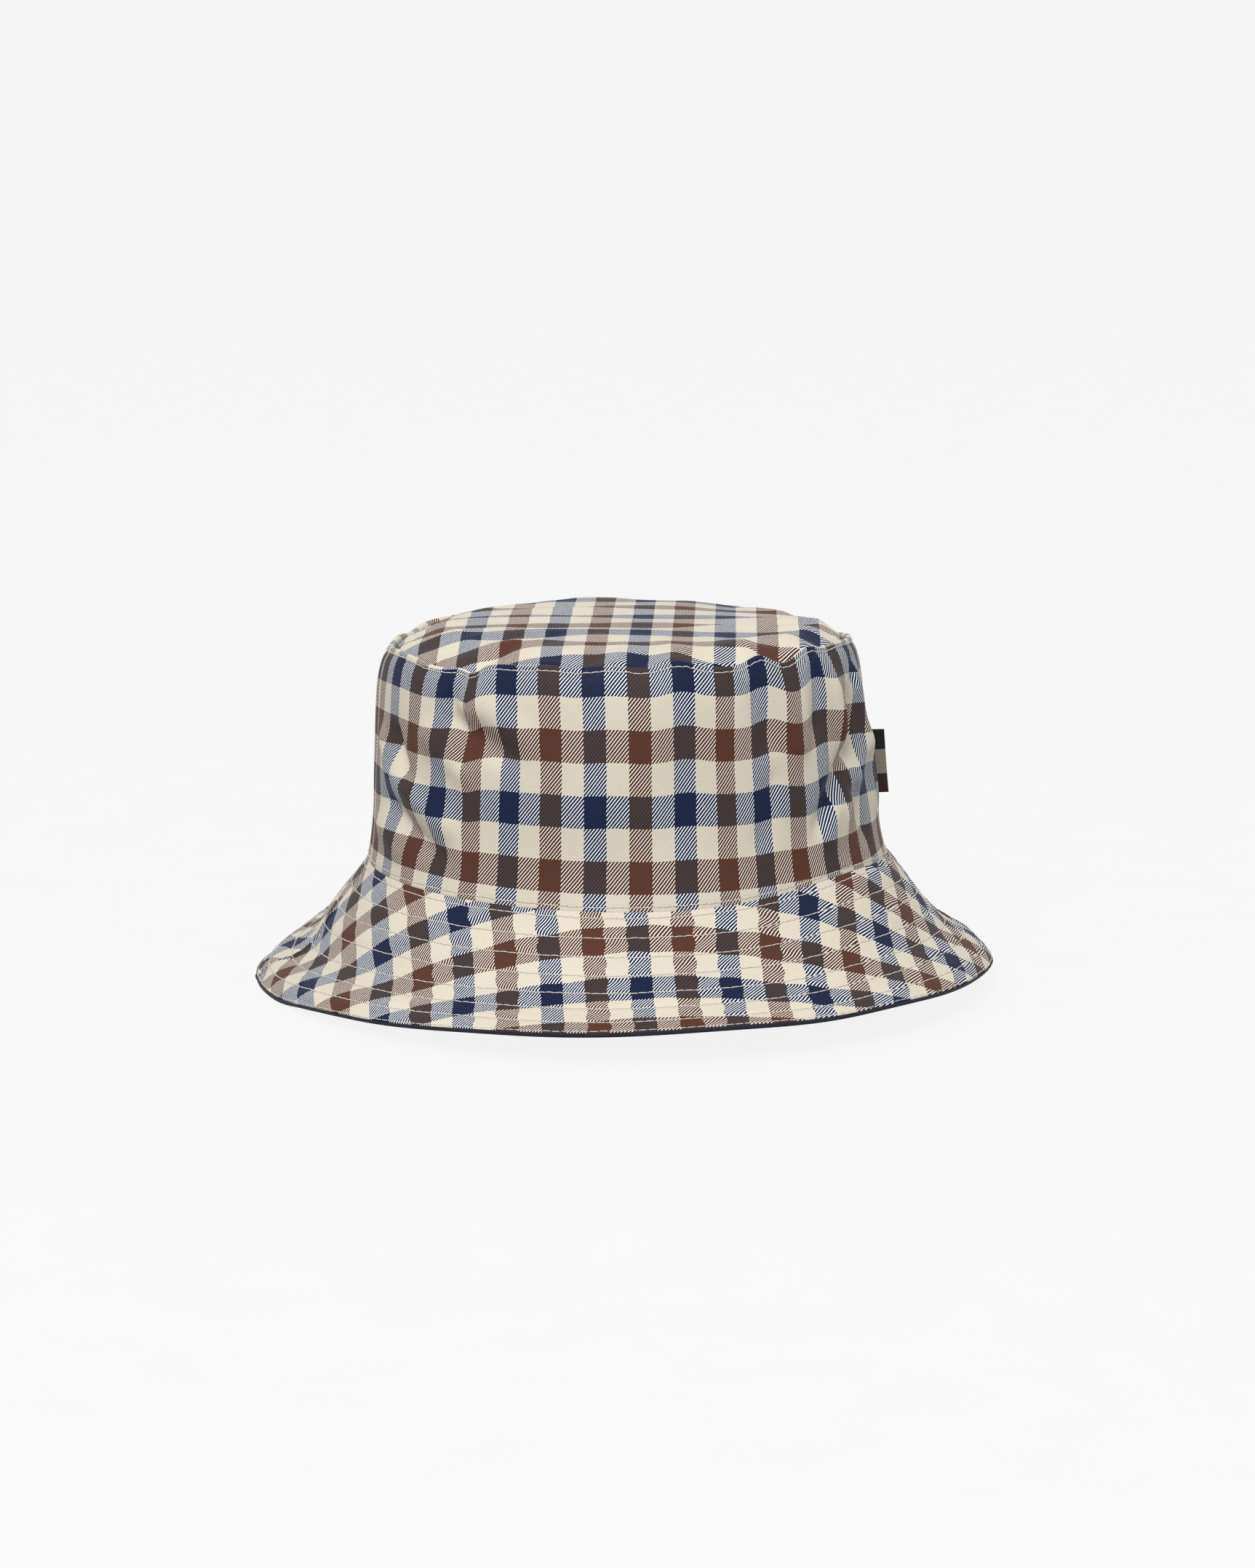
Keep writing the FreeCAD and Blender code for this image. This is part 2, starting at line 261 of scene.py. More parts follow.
def patch(phi, up, place):
    """1 at a place on the wall, (degrees, width, mm up, height), falling to 0 all round."""
    at, wide, level, tall = place
    return turn_bump(phi, at, wide) * bump(up, level, tall)


def wall(phi, up):
    """A point of the crown's wall, at a distance up the cloth from the fold over the brim."""
    radius = spline(WALL_ALONG, WALL_CUT[:, 0], up)
    share = spline(WALL_ALONG, WALL_CUT[:, 1], up)
    low, high = seam_height(phi), top_height(phi)
    loose = np.sin(math.pi * np.clip(up / WALL_CLOTH, 0, 1)) ** SLACK
    slow = sum(
        size * np.sin(count * phi + phase + drift * up) for count, size, phase, drift in SLOW_WAVES
    )
    calmed = 1 - CALM * patch(phi, up, BEHIND_LABEL)
    radius = radius + loose * (slow + crease_depth(phi, up)) * calmed
    radius = radius - STITCH_GROOVE_DEEP * bump(up, BASE_TOPSTITCH, STITCH_GROOVE_WIDE)
    radius = radius - HOLLOW_DEEP * patch(phi, up, RIGHT_HOLLOW)
    for seam_at in SEAMS_AT:
        radius = radius - SEAM_GROOVE_DEEP * turn_bump(phi, seam_at, SEAM_GROOVE_WIDE) * loose
    return crown_point(phi, radius, low + share * (high - low), share)


# The wall is eased into the smaller tip at puckers: (degrees from the panel's middle, share).
FRONT_PUCKERS = [(-47.0, 0.65), (-80, 0.35), (22, 0.25), (43, 0.35), (66, 0.40)]
BACK_PUCKERS = [(-66, 0.45), (-31, 0.55), (24, 0.40), (58, 0.60)]
PUCKER_WIDE = 3.0  # millimetres
TAPER = 0.07  # how much shorter the wall's top edge is made
TAPER_START = 42.0  # how far up the wall that begins

# Where creases drag the print sideways, in waves up the wall:
# (degrees, width in degrees, millimetres, wave's length, change of phase round the hat).
DRAGS = [(64, 22, 1.9, 8.2, 2.6), (-72, 24, 1.3, 9.5, 2.0)]
TUCK_AT, TUCK_WIDE, TUCK = 17, 6.0, 2.4  # degrees, degrees, and how much cloth it takes
PRINT_STRETCH, SIDE_STRETCH = 0.975, 0.045  # up the wall, and how much more at the sides
# The print's place: the shift across, and how far up it a distance up the wall lies.
WALL_PRINT_ACROSS, WALL_PRINT_UP, WALL_PRINT_LEVEL = -5.8, -22.8, 11.9


def pucker_shift(turn, back, eased):
    """How far the puckers move the print across, where they take up the top's extra cloth."""
    shift = 0.0
    for here, puckers in ((1 - back, FRONT_PUCKERS), (back, BACK_PUCKERS)):
        for at, share in puckers:
            side = math.copysign(1, at)
            gap = (turn - math.radians(at)) * CROWN_ROUND * side
            taken = share * side * CROWN_ROUND * QUARTER_TURN * eased
            shift = shift + here * taken * ramp(gap / PUCKER_WIDE)
    return shift


def wall_flat(phi, up):
    """Where a point of the wall lies in the print."""
    half_turns = np.round(phi / math.pi)
    back = np.abs(half_turns) % 2
    turn = phi - half_turns * math.pi
    eased = TAPER * np.clip((up - TAPER_START) / (WALL_CLOTH - TAPER_START), 0, 1) ** 2
    across = CROWN_ROUND * (half_turns * math.pi + turn * (1 - eased))
    across = across + pucker_shift(turn, back, eased)
    share = up / WALL_CLOTH
    dragged = sum(
        size * np.sin(up / length + drift * phi) * turn_bump(phi, at, wide)
        for at, wide, size, length, drift in DRAGS
    )
    across = across - LEAN * share * np.cos(phi)
    across = across + dragged * np.sin(math.pi * np.clip(share, 0, 1))
    in_front = np.abs(turn_gap(phi, 0)) < 90
    tucked = TUCK * ramp(turn_gap(phi, TUCK_AT) / TUCK_WIDE) * in_front
    across = across + tucked * (1 - eased / TAPER)
    tall = PRINT_STRETCH + SIDE_STRETCH * np.sin(phi) ** 4
    print_up = tall * (up - WALL_PRINT_LEVEL) + WALL_PRINT_UP + humps(phi, SIDE_LIFT) * (1 - share)
    return across + WALL_PRINT_ACROSS, print_up


# ---------------- the crown's tip

TIP_EDGE = 81.6
TIP_TURN = math.radians(-10.5)  # how far the tip's print is turned
TIP_SUNK = 0.5  # how far its edge lies below the seam's height
TIP_RISE, TIP_DOME = 8.9, 0.8  # how high the tip swells behind its seam, and towards its middle
TIP_SWELL = 13.5  # the distance in from its seam over which it rises
TIP_LEDGE = 0.6  # the flat strip beside its seam
TIP_BEND = 9.0  # how sharply the swell turns level
TIP_PUSH = 4.0  # how far the swollen cloth has slid to the right
TUCK_UNDER, TUCK_DROP = 1.4, 2.2  # the tip's outermost strip dips behind the wall's ridge

# Long soft ridges across the tip: (mm behind its middle, width, height, bend, wave's phase).
TIP_RIDGES = [
    (-54, 6.0, 1.0, 0.0024, 0.3), (-41, 5.5, 1.9, 0.0040, 1.9), (-25, 6.0, 1.7, 0.0032, 4.0),
    (-8, 5.5, 2.0, 0.0036, 2.6), (10, 6.5, 1.8, 0.0020, 5.2), (30, 7.5, 1.6, 0.0016, 0.9),
    (52, 7.0, 1.1, 0.0010, 3.3),
]
RIDGE_LEVEL = 0.45  # the part of a ridge's height that lies below the tip's plain height
RIDGE_WANDER, WANDER_LENGTH = 2.5, 17.0  # how far they stray to and fro, and how often
RIDGE_FADE, FADE_LENGTH = 0.35, 23.0  # how much they fade in places, and how often
CRUMPLE, CRUMPLE_LENGTH = 0.28, 3.1
PLEAT_REACH = 0.5  # in widths of the swell
DIP_DEEP, DIP_ACROSS, DIP_BEHIND = 2.2, (37, 15), (58, 24)  # a hollow at the back right

TIP_PRINT_SCALE = 1.04  # the ripples take up a little cloth
TIP_PRINT_ACROSS, TIP_PRINT_UP = -8.4, TIP_EDGE * 1.035 - 6.0


def tip_inside(radius):
    """How far in from the seam a place of the tip is, in widths of its swell."""
    return np.clip((TIP_EDGE - TIP_LEDGE - radius) / TIP_SWELL, 0, None)


def tip_ripple(across, behind):
    """The tip's long ridges, which bend and fade, and the fine crumple over them."""
    crumple_phase = 1.5 * np.sin(across / 19 + 1.0) + across / 40
    ripple = CRUMPLE * np.sin(behind / CRUMPLE_LENGTH + crumple_phase)
    for at, wide, high, bend, phase in TIP_RIDGES:
        wander = RIDGE_WANDER * np.sin(across / WANDER_LENGTH + phase)
        line = behind - at + bend * across**2 - wander
        fade = 1 - RIDGE_FADE + RIDGE_FADE * np.sin(across / FADE_LENGTH + 2.1 * phase)
        ripple = ripple + high * fade * (bump(line, 0, wide) - RIDGE_LEVEL)
    return ripple


def tip_pleats(phi, inside):
    """The small pleats just behind the tip's seam: two uneven waves round the hat."""
    pleats = 0.8 * np.sin(phi * 17 + 2.0 * np.sin(phi * 3)) + 0.5 * np.sin(phi * 31 + 1.0)
    return pleats * np.exp(-inside / PLEAT_REACH) * np.clip(inside * 3, 0, 1)


def tip(phi, radius):
    """A point of the tip, at a radius from its middle: it swells up behind its seam."""
    share = radius / TIP_EDGE
    inside = tip_inside(radius)
    risen = np.clip(inside, 0, 1)
    across = radius * np.sin(phi - TIP_TURN)
    behind = -radius * np.cos(phi - TIP_TURN)
    height = TOP_LEVEL + (top_height(phi) - TIP_SUNK - TOP_LEVEL) * np.clip(share, 0, 1) ** 4
    swell = -np.log(np.exp(-TIP_BEND * inside) + math.exp(-TIP_BEND)) / TIP_BEND
    height = height + TIP_RISE * swell + TIP_DOME * np.clip(1 - share**2, 0, 1) * risen
    height = height + tip_ripple(across, behind) * np.clip(inside - 0.25, 0, 1) ** 0.8
    height = height + tip_pleats(phi, inside)
    height = height - TUCK_DROP * np.clip((radius - TIP_EDGE + TUCK_UNDER) / TUCK_UNDER, 0, None)
    height = height - DIP_DEEP * bump(across, *DIP_ACROSS) * bump(behind, *DIP_BEHIND) * risen
    point = crown_point(phi, radius, height, 1.0)
    point[..., 0] += TIP_PUSH * risen
    return point


def tip_flat(phi, radius):
    """Where a point of the tip lies in the print: one straight cut, turned a little."""
    across = radius * TIP_PRINT_SCALE * np.sin(phi - TIP_TURN)
    behind = -radius * TIP_PRINT_SCALE * np.cos(phi - TIP_TURN)
    pushed = TIP_PUSH * np.clip(tip_inside(radius), 0, 1)
    return across + pushed + TIP_PRINT_ACROSS, behind + TIP_PRINT_UP


# ---------------- the brim

# How steeply the brim falls, in degrees, against the distance out from the seam.
LEFT_FALL = [
    (-4, 44), (0, 53), (8, 54), (20, 51), (28, 59), (34, 58), (39, 37), (45, 19), (51, 27),
    (57, 60), (66, 76),
]
RIGHT_FALL = [
    (-4, 38), (0, 45), (8, 55), (16, 57), (24, 56), (30, 53), (37, 41), (43, 34), (49, 39),
    (54, 50), (58, 62), (66, 70),
]
FRONT_FALL = [(-4, 26), (0, 34), (6, 41), (18, 36), (32, 31), (44, 22), (54, 15), (66, 13)]
FALL_STEP = 0.25
OUT = np.arange(-4.0, 66.0, FALL_STEP)

SIDE_NARROWER = 0.025  # how much narrower the brim is at its side seams
RIM_FLOOR = 1.75  # the height of the brim's top face where its edge meets the floor
RIM_SOFT = 3.0  # how sharply the edge turns level there
RIM_WAVES = [(5, 0.45, 0.8), (8, 0.3, 2.2), (13, 0.15, 0.0)]  # (how many, millimetres, phase)
SIDE_WAVE = 0.35  # the share of the waves that is left at the side seams
# Where the brim's edge is higher or lower: (degrees, width in degrees, millimetres).
RIM_WAVE_HUMPS = [(-33, 13, 2.4), (150, 16, 1.2)]
RIM_HUMPS = [(68, 36, 5.28), (60, 40, 3.84), (-60, 15, 1.9), (-92, 14, -0.9), (29, 11, 0.9)]
# Where the brim's edge reaches further out, and less far.
RIM_WIDER, RIM_NARROWER = [(-88, 17, 2.3)], [(-119, 14, 4.6)]
QUILT_DEEP, QUILT_WIDE = 0.28, 1.1  # the groove that each row of stitches pulls in
SEAM_RIDGE_TALL, SEAM_RIDGE_WIDE = 0.75, 0.8
LIFT_OUT, LIFT_UP = 0.55, 0.8  # how a small rise of the cloth splits between out and up

GRAIN = math.radians(-5.5)  # where the print runs straight out from the crown
CUT_TURN, CUT_UNEVEN = 0.755, 0.0575  # how fast the flat cut turns, and how much faster in front
FLAT_STEP = 0.01
BRIM_PRINT_ACROSS, BRIM_PRINT_UP = 2.7, 35.0  # the print's place on each half ring
# Where the print is shifted: (degrees, width in degrees, millimetres).
SHIFT_ACROSS, SHIFT_UP = [(-78, 26, 4.5)], [(58, 30, 7.0)]


def fall_curve(table):
    """Radius and height against the distance out, from a table of slopes."""
    at, slope = np.array(table, float).T
    angle = np.radians(spline(at, slope, OUT))
    radius = np.cumsum(np.cos(angle)) * FALL_STEP
    drop = np.cumsum(np.sin(angle)) * FALL_STEP
    seam = np.searchsorted(OUT, 0.0)
    return radius - radius[seam], drop - drop[seam]


LEFT_CURVE, RIGHT_CURVE = fall_curve(LEFT_FALL), fall_curve(RIGHT_FALL)
FRONT_CURVE = fall_curve(FRONT_FALL)


def brim_fall(phi, out):
    """How far out and how far down the brim's cloth goes, between its three curves."""
    side = np.sin(phi) ** 2
    left = side * (1 - np.sin(phi)) / 2
    weights = ((1 - side, FRONT_CURVE), (left, LEFT_CURVE), (side - left, RIGHT_CURVE))
    return [sum(part * np.interp(out, OUT, curve[i]) for part, curve in weights) for i in (0, 1)]


def rim_height(phi):
    """How much higher the brim's edge is than its fall makes it, in millimetres."""
    wave = sum(size * np.sin(count * phi + phase) for count, size, phase in RIM_WAVES)
    wave = wave + humps(phi, RIM_WAVE_HUMPS)
    wave = wave * (SIDE_WAVE + (1 - SIDE_WAVE) * np.cos(phi) ** 2)
    return wave + humps(phi, RIM_HUMPS) - humps(phi, SIDE_LIFT)


def brim_relief(phi, out, full, share, radius):
    """The brim's small relief: grooves along its stitches, puckers, and its seams' ridges.

    out is measured along the narrowed brim, and full along the plain one.
    """
    row = (full - ROW_FIRST) / ROW_PITCH
    to_row = (row - np.clip(np.round(row), 0, ROWS - 1)) * ROW_PITCH
    pull = 0.10 * np.sin(phi * 117 + 3 * np.sin(out * 0.7)) + 0.08 * np.sin(phi * 71 + out * 0.9)
    relief = pull * share * (1 - share**6) - QUILT_DEEP * bump(to_row, 0, QUILT_WIDE)
    for seam_at in SEAMS_AT:
        from_seam = np.radians(turn_gap(phi, seam_at)) * radius
        relief = relief + SEAM_RIDGE_TALL * bump(from_seam, 0, SEAM_RIDGE_WIDE)
    return relief


def brim(phi, out):
    """A point of the brim's top face, at a distance out from the seam along the cloth."""
    share = np.clip(out / BRIM_WIDE, 0, 1)
    drawn = out * (1 - SIDE_NARROWER * np.sin(phi) ** 2)
    reach, drop = brim_fall(phi, drawn)
    height = seam_height(phi) - drop + share * rim_height(phi)
    height = RIM_FLOOR + np.logaddexp(0, (height - RIM_FLOOR) * RIM_SOFT) / RIM_SOFT
    radius = BRIM_START + reach
    relief = brim_relief(phi, drawn, out, share, radius)
    radius = radius + LIFT_OUT * relief
    radius = radius + share**3 * humps(phi, RIM_WIDER) - share**2 * humps(phi, RIM_NARROWER)
    x, y = outward(phi)
    return points_at(radius * x, radius * y, height + LIFT_UP * relief)


def flat_curve():
    """The flat cut's inner edge: its slope, and how far across and up it is, at each turn."""
    turns = np.arange(-2.0, 2.0, FLAT_STEP)
    slant = CUT_TURN * turns + CUT_UNEVEN * np.sin(2 * turns)
    across = np.cumsum(np.cos(slant)) * FLAT_STEP * BRIM_START
    up = np.cumsum(np.sin(slant)) * FLAT_STEP * BRIM_START
    return turns, slant, across - np.interp(0.0, turns, across), up - np.interp(0.0, turns, up)


FLAT_TURNS, FLAT_SLANT, FLAT_ACROSS, FLAT_UP = flat_curve()


def brim_flat(phi, out):
    """Where a point of the brim lies in the print: half a ring, cut square to its middle."""
    turn = phi - np.round(phi / math.pi) * math.pi - GRAIN
    slant = np.interp(turn, FLAT_TURNS, FLAT_SLANT)
    across = np.interp(turn, FLAT_TURNS, FLAT_ACROSS) + out * np.sin(slant)
    up = np.interp(turn, FLAT_TURNS, FLAT_UP) - out * np.cos(slant)
    across = across + humps(phi, SHIFT_ACROSS)
    up = up + humps(phi, SHIFT_UP)
    # Between the rows of stitches the cloth is pulled a little to and fro.
    between = 2 * math.pi * (out - ROW_FIRST) / ROW_PITCH
    across = across + 0.42 * np.sin(between + 4 * np.sin(9 * phi)) * (0.6 + 0.4 * np.sin(23 * phi))
    up = up + 0.25 * np.sin(31 * phi + out / 6) + 0.15 * np.sin(between / 2 + 47 * phi)
    return across + BRIM_PRINT_ACROSS, up + BRIM_PRINT_UP


def nominal_radius(out):
    """The brim's plain radius at a distance out, which the stitches are counted along."""
    return BRIM_START + BRIM_SPREAD * out


# ---------------- the loop and the label

TAB_TALL, TAB_REACH, TAB_HALF = 23.3, 7.2, 0.45  # TAB_HALF is half the gap between its sides
TAB_IN = 1.8  # how far its ends reach in past its hinge line
TAB_TILT = math.radians(5.2)
TAB_SWELL, TAB_SWAY, TAB_LIFT = 0.35, 0.5, 0.25  # how far it bulges, bends aside and fans out
TAB_THICK, TAB_TRIM = 0.32, 0.2  # its ribbon's thickness, and how far its ends stop short
TAB_AXIS, TAB_FOOT = frame_point("tab_flex")
TAB_LENGTH = 2 * (TAB_REACH - TAB_HALF) + math.pi * TAB_HALF  # of its ribbon, round the fold

LABEL_WIDE, LABEL_TALL, LABEL_THICK = 22.0, 26.0, 0.3
LABEL_AXIS = frame_point("label_flip")
LABEL_BACK, LABEL_UP = 0.05, 0.2  # how far its stitched edge lies from the joint's axis
LABEL_BELLY, LABEL_WAVE, LABEL_HELD = 0.35, 0.12, 6.0  # its bulge, ripple, and flat top strip


def tab_ribbon(up, along):
    """A point of the loop's ribbon: out from the seam, round the fold, and back."""
    half = TAB_REACH - TAB_HALF
    past_fold = np.clip(along - half - math.pi * TAB_HALF, 0, None)
    turn = np.clip((along - half) / TAB_HALF, 0, math.pi)
    out = np.minimum(along, half) + TAB_HALF * np.sin(turn) - past_fold
    side = -TAB_HALF * np.cos(turn)
    free = out / TAB_REACH
    swell = TAB_SWELL * np.sin(math.pi * np.clip(free, 0, 1)) * np.sign(side)
    sway = TAB_SWAY * np.sin(up / 7.0 + 0.6) * free**2
    lift = TAB_LIFT * free**2 * (up / TAB_TALL - 0.5)
    x = TAB_AXIS - TAB_IN + out - math.sin(TAB_TILT) * up
    return points_at(x, side + swell + sway, TAB_FOOT + up * math.cos(TAB_TILT) + lift)


def label_ribbon(across, down):
    """A point of the label's face that is turned to the lining."""
    belly = LABEL_BELLY * np.sin(math.pi * down / LABEL_TALL) + LABEL_WAVE * np.sin(across / 3.5)
    y = LABEL_AXIS[0] + LABEL_BACK - belly * np.clip(down / LABEL_HELD, 0, 1)
    return points_at(across, y, LABEL_AXIS[1] + LABEL_UP - down)


def label_inside(across, down):
    """The label's other face, which its stitches show on."""
    point = label_ribbon(-across, down)
    point[..., 1] -= LABEL_THICK
    return point


RUNS_BACKWARDS = (brim, tip, tab_ribbon)  # surfaces whose two directions make inward normals

# ---------------- meshes


def normals(surface, a, b):
    """The outward normals of a surface function."""
    way = -1.0 if surface in RUNS_BACKWARDS else 1.0
    da, db = 1e-3, 0.05
    along_a = surface(a + da, b) - surface(a - da, b)
    along_b = surface(a, b + db) - surface(a, b - db)
    cross = np.cross(along_a, along_b) * way
    return cross / np.maximum(np.linalg.norm(cross, axis=-1, keepdims=True), 1e-9)


def new_object(name, points, faces, uv_maps, material):
    """A smooth mesh from points in millimetres, with UV maps in millimetres per corner."""
    mesh = bpy.data.meshes.new(name)
    mesh.from_pydata((np.asarray(points).reshape(-1, 3) * MM).tolist(), [], faces)
    for uv_name, corners in uv_maps.items():
        layer = mesh.uv_layers.new(name=uv_name)
        layer.data.foreach_set("uv", (np.asarray(corners) * MM).astype(np.float32).ravel())
    mesh.polygons.foreach_set("use_smooth", np.ones(len(mesh.polygons), bool))
    mesh.materials.append(material)
    mesh.update()
    piece = bpy.data.objects.new(name, mesh)
    bpy.context.scene.collection.objects.link(piece)
    return piece


def clean(piece):
    """Joins points that lie together, and drops the faces that this leaves with no area."""
    work = bmesh.new()
    work.from_mesh(piece.data)
    bmesh.ops.remove_doubles(work, verts=work.verts, dist=2e-6)
    bmesh.ops.dissolve_degenerate(work, edges=work.edges, dist=1e-7)
    work.to_mesh(piece.data)
    work.free()


def at_depth(path, depth):
    """One side of a section: (distance, depth) pairs at an even depth."""
    return np.stack([path, np.full(len(path), depth)], -1)


def sheet_section(start, end, step, depth, thickness):
    """The section of an even sheet between two distances."""
    path = np.linspace(start, end, max(2, int((end - start) / step)))
    return at_depth(path, depth), at_depth(path, depth + thickness)


def end_faces(count, loop_size):
    """The faces that close the first end of a swept section, from its outer to its inner path."""
    k = np.arange(count - 1)
    return np.stack([k, k + 1, loop_size - 2 - k, loop_size - 1 - k], axis=-1)


def cloth(name, surface, span, section, flat, material, closed=False, rows=None):
    """A closed sheet of cloth: a section of (distance, depth) pairs swept along a span.

    section is (outer path, inner path), of the same length. A depth is measured inwards
    from the surface. flat and rows give the two UV maps.
    """
    outer, inner = section
    loop = np.concatenate([outer, inner[::-1]])
    at = loop[:, 0]
    turns = span[:-1] if closed else span
    a, b = np.meshgrid(turns, at, indexing="ij")
    points = surface(a, b) - normals(surface, a, b) * loop[:, 1][None, :, None]
    n, m = a.shape
    i = np.arange(n if closed else n - 1)[:, None] + np.zeros((1, m), int)
    j = np.arange(m)[None, :] + np.zeros_like(i)
    i2, j2 = (i + 1) % n, (j + 1) % m
    faces = np.stack([i * m + j, i2 * m + j, i2 * m + j2, i * m + j2], -1).reshape(-1, 4)
    corner_a = np.stack([span[i], span[i + 1], span[i + 1], span[i]], -1).reshape(-1, 4)
    corner_b = np.stack([at[j], at[j], at[j2], at[j2]], -1).reshape(-1, 4)
    if not closed:
        first = end_faces(len(outer), m)
        last = first[:, ::-1]
        faces = np.concatenate([faces, first, last + (n - 1) * m])
        corner_a = np.concatenate([corner_a, first * 0 + span[0], last * 0 + span[-1]])
        corner_b = np.concatenate([corner_b, at[first], at[last]])
    if surface in RUNS_BACKWARDS:
        faces, corner_a, corner_b = faces[:, ::-1], corner_a[:, ::-1], corner_b[:, ::-1]
    uv_maps = {"print": np.stack(flat(corner_a, corner_b), axis=-1)}
    if rows is not None:
        uv_maps["rows"] = np.stack(rows(corner_a, corner_b), axis=-1)
    return new_object(name, points, faces.tolist(), uv_maps, material)


# ---------------- stitches

STITCH_POINTS, THREAD_SIDES = 6, 6
STITCH_SIZE = STITCH_POINTS * THREAD_SIDES  # points in one stitch
STITCH_INSET = 0.02  # the share of a stitch that each needle hole takes
STITCH_BOW, STITCH_SKEW = (-0.05, 0.28), (-0.12, 0.12)  # how far stitches stray, in millimetres
STITCH_SUNK, STITCH_ARCH = -0.7, 1.45  # in thread radii: depth at its ends, rise in its middle
THREAD_TURN = 0.21  # the width of one of the thread's sides, in millimetres


def stitch_spines(surface, line, level, sign, thick, chosen):
    """The middle line of each stitch along a line of needle holes, and the normals there."""
    phi_line, out_line = line
    count = len(phi_line) - 1
    share = np.linspace(0, 1, STITCH_POINTS)[None, :]
    a0, a1 = phi_line[:-1, None], phi_line[1:, None]
    b0, b1 = out_line[:-1, None], out_line[1:, None]
    part = STITCH_INSET + (1 - 2 * STITCH_INSET) * share
    bow = chosen.uniform(*STITCH_BOW, (count, 1)) * np.sin(math.pi * share)
    skew = chosen.uniform(*STITCH_SKEW, (count, 1)) * (share - 0.5)
    a = a0 + (a1 - a0) * part
    b = b0 + (b1 - b0) * part + bow + skew
    rise = thick * (STITCH_SUNK + STITCH_ARCH * np.sin(math.pi * share) ** 0.5)
    normal = normals(surface, a, b) * sign
    return surface(a, b) - normal * sign * level + normal * rise[..., None], normal


def stitch_rings(spine, normal, thick):
    """Rings of points round each stitch's middle line."""
    run = np.gradient(spine, axis=1)
    run /= np.linalg.norm(run, axis=-1, keepdims=True)
    side = np.cross(run, normal)
    side /= np.linalg.norm(side, axis=-1, keepdims=True)
    up = np.cross(side, run)
    angle = (np.arange(THREAD_SIDES) * 2 * math.pi / THREAD_SIDES)[None, None, :, None]
    round_it = side[:, :, None] * np.cos(angle) + up[:, :, None] * np.sin(angle)
    return (spine[:, :, None] + thick * round_it).reshape(-1, 3)


def stitch_sides(count, base):
    """The side faces of stitches, and where their corners lie along and round the thread."""
    s = np.arange(count)[:, None, None] * STITCH_SIZE + base
    k = np.arange(STITCH_POINTS - 1)[None, :, None] * THREAD_SIDES
    q = np.arange(THREAD_SIDES)[None, None, :]
    here, onward = s + k, s + k + THREAD_SIDES
    q2 = (q + 1) % THREAD_SIDES
    quads = np.stack([here + q, onward + q, onward + q2, here + q2], -1).reshape(-1, 4)
    step = STITCH / (STITCH_POINTS - 1)
    along = np.arange(STITCH_POINTS - 1)[None, :, None] * step
    along = np.broadcast_to(along, (count, STITCH_POINTS - 1, THREAD_SIDES))
    turn = np.broadcast_to(q * THREAD_TURN, along.shape)
    turn2 = turn + THREAD_TURN
    places = ((along, turn), (along + step, turn), (along + step, turn2), (along, turn2))
    corners = np.stack([np.stack(place_at, -1) for place_at in places], axis=-2)
    return quads, corners.reshape(-1, 2)


def stitch_ends(count, base):
    """The faces that close both ends of each stitch."""
    round_end = np.arange(THREAD_SIDES)[None, :]
    first = np.arange(count)[:, None] * STITCH_SIZE + base
    last = first + STITCH_SIZE - THREAD_SIDES
    return np.concatenate([first + round_end, last + round_end[:, ::-1]])


def stitches(name, surface, lines, material, depth=0.0, under=None, thick=THREAD):
    """Separate stitches along lines of needle holes: [(azimuths, distances), ...].

    Each stitch is a short curved thread that dips into the cloth at both ends. under gives
    the depth of the cloth's other face, where each line is repeated.
    """
    chosen = np.random.default_rng(SEED + len(name))
    levels = [(depth, 1.0)] if under is None else [(depth, 1.0), (under, -1.0)]
    points, faces, corners = [], [], []
    base = 0
    for line in lines:
        count = len(line[0]) - 1
        for level, sign in levels:
            spine, normal = stitch_spines(surface, line, level, sign, thick, chosen)
            points.append(stitch_rings(spine, normal, thick))
            sides, side_corners = stitch_sides(count, base)
            ends = stitch_ends(count, base)
            faces += sides.tolist() + ends.tolist()
            corners += [side_corners, np.zeros((ends.size, 2))]
            base += count * STITCH_SIZE
    uv_maps = {"print": np.concatenate(corners)}
    return new_object(name, np.concatenate(points), faces, uv_maps, material)


# ---------------- materials


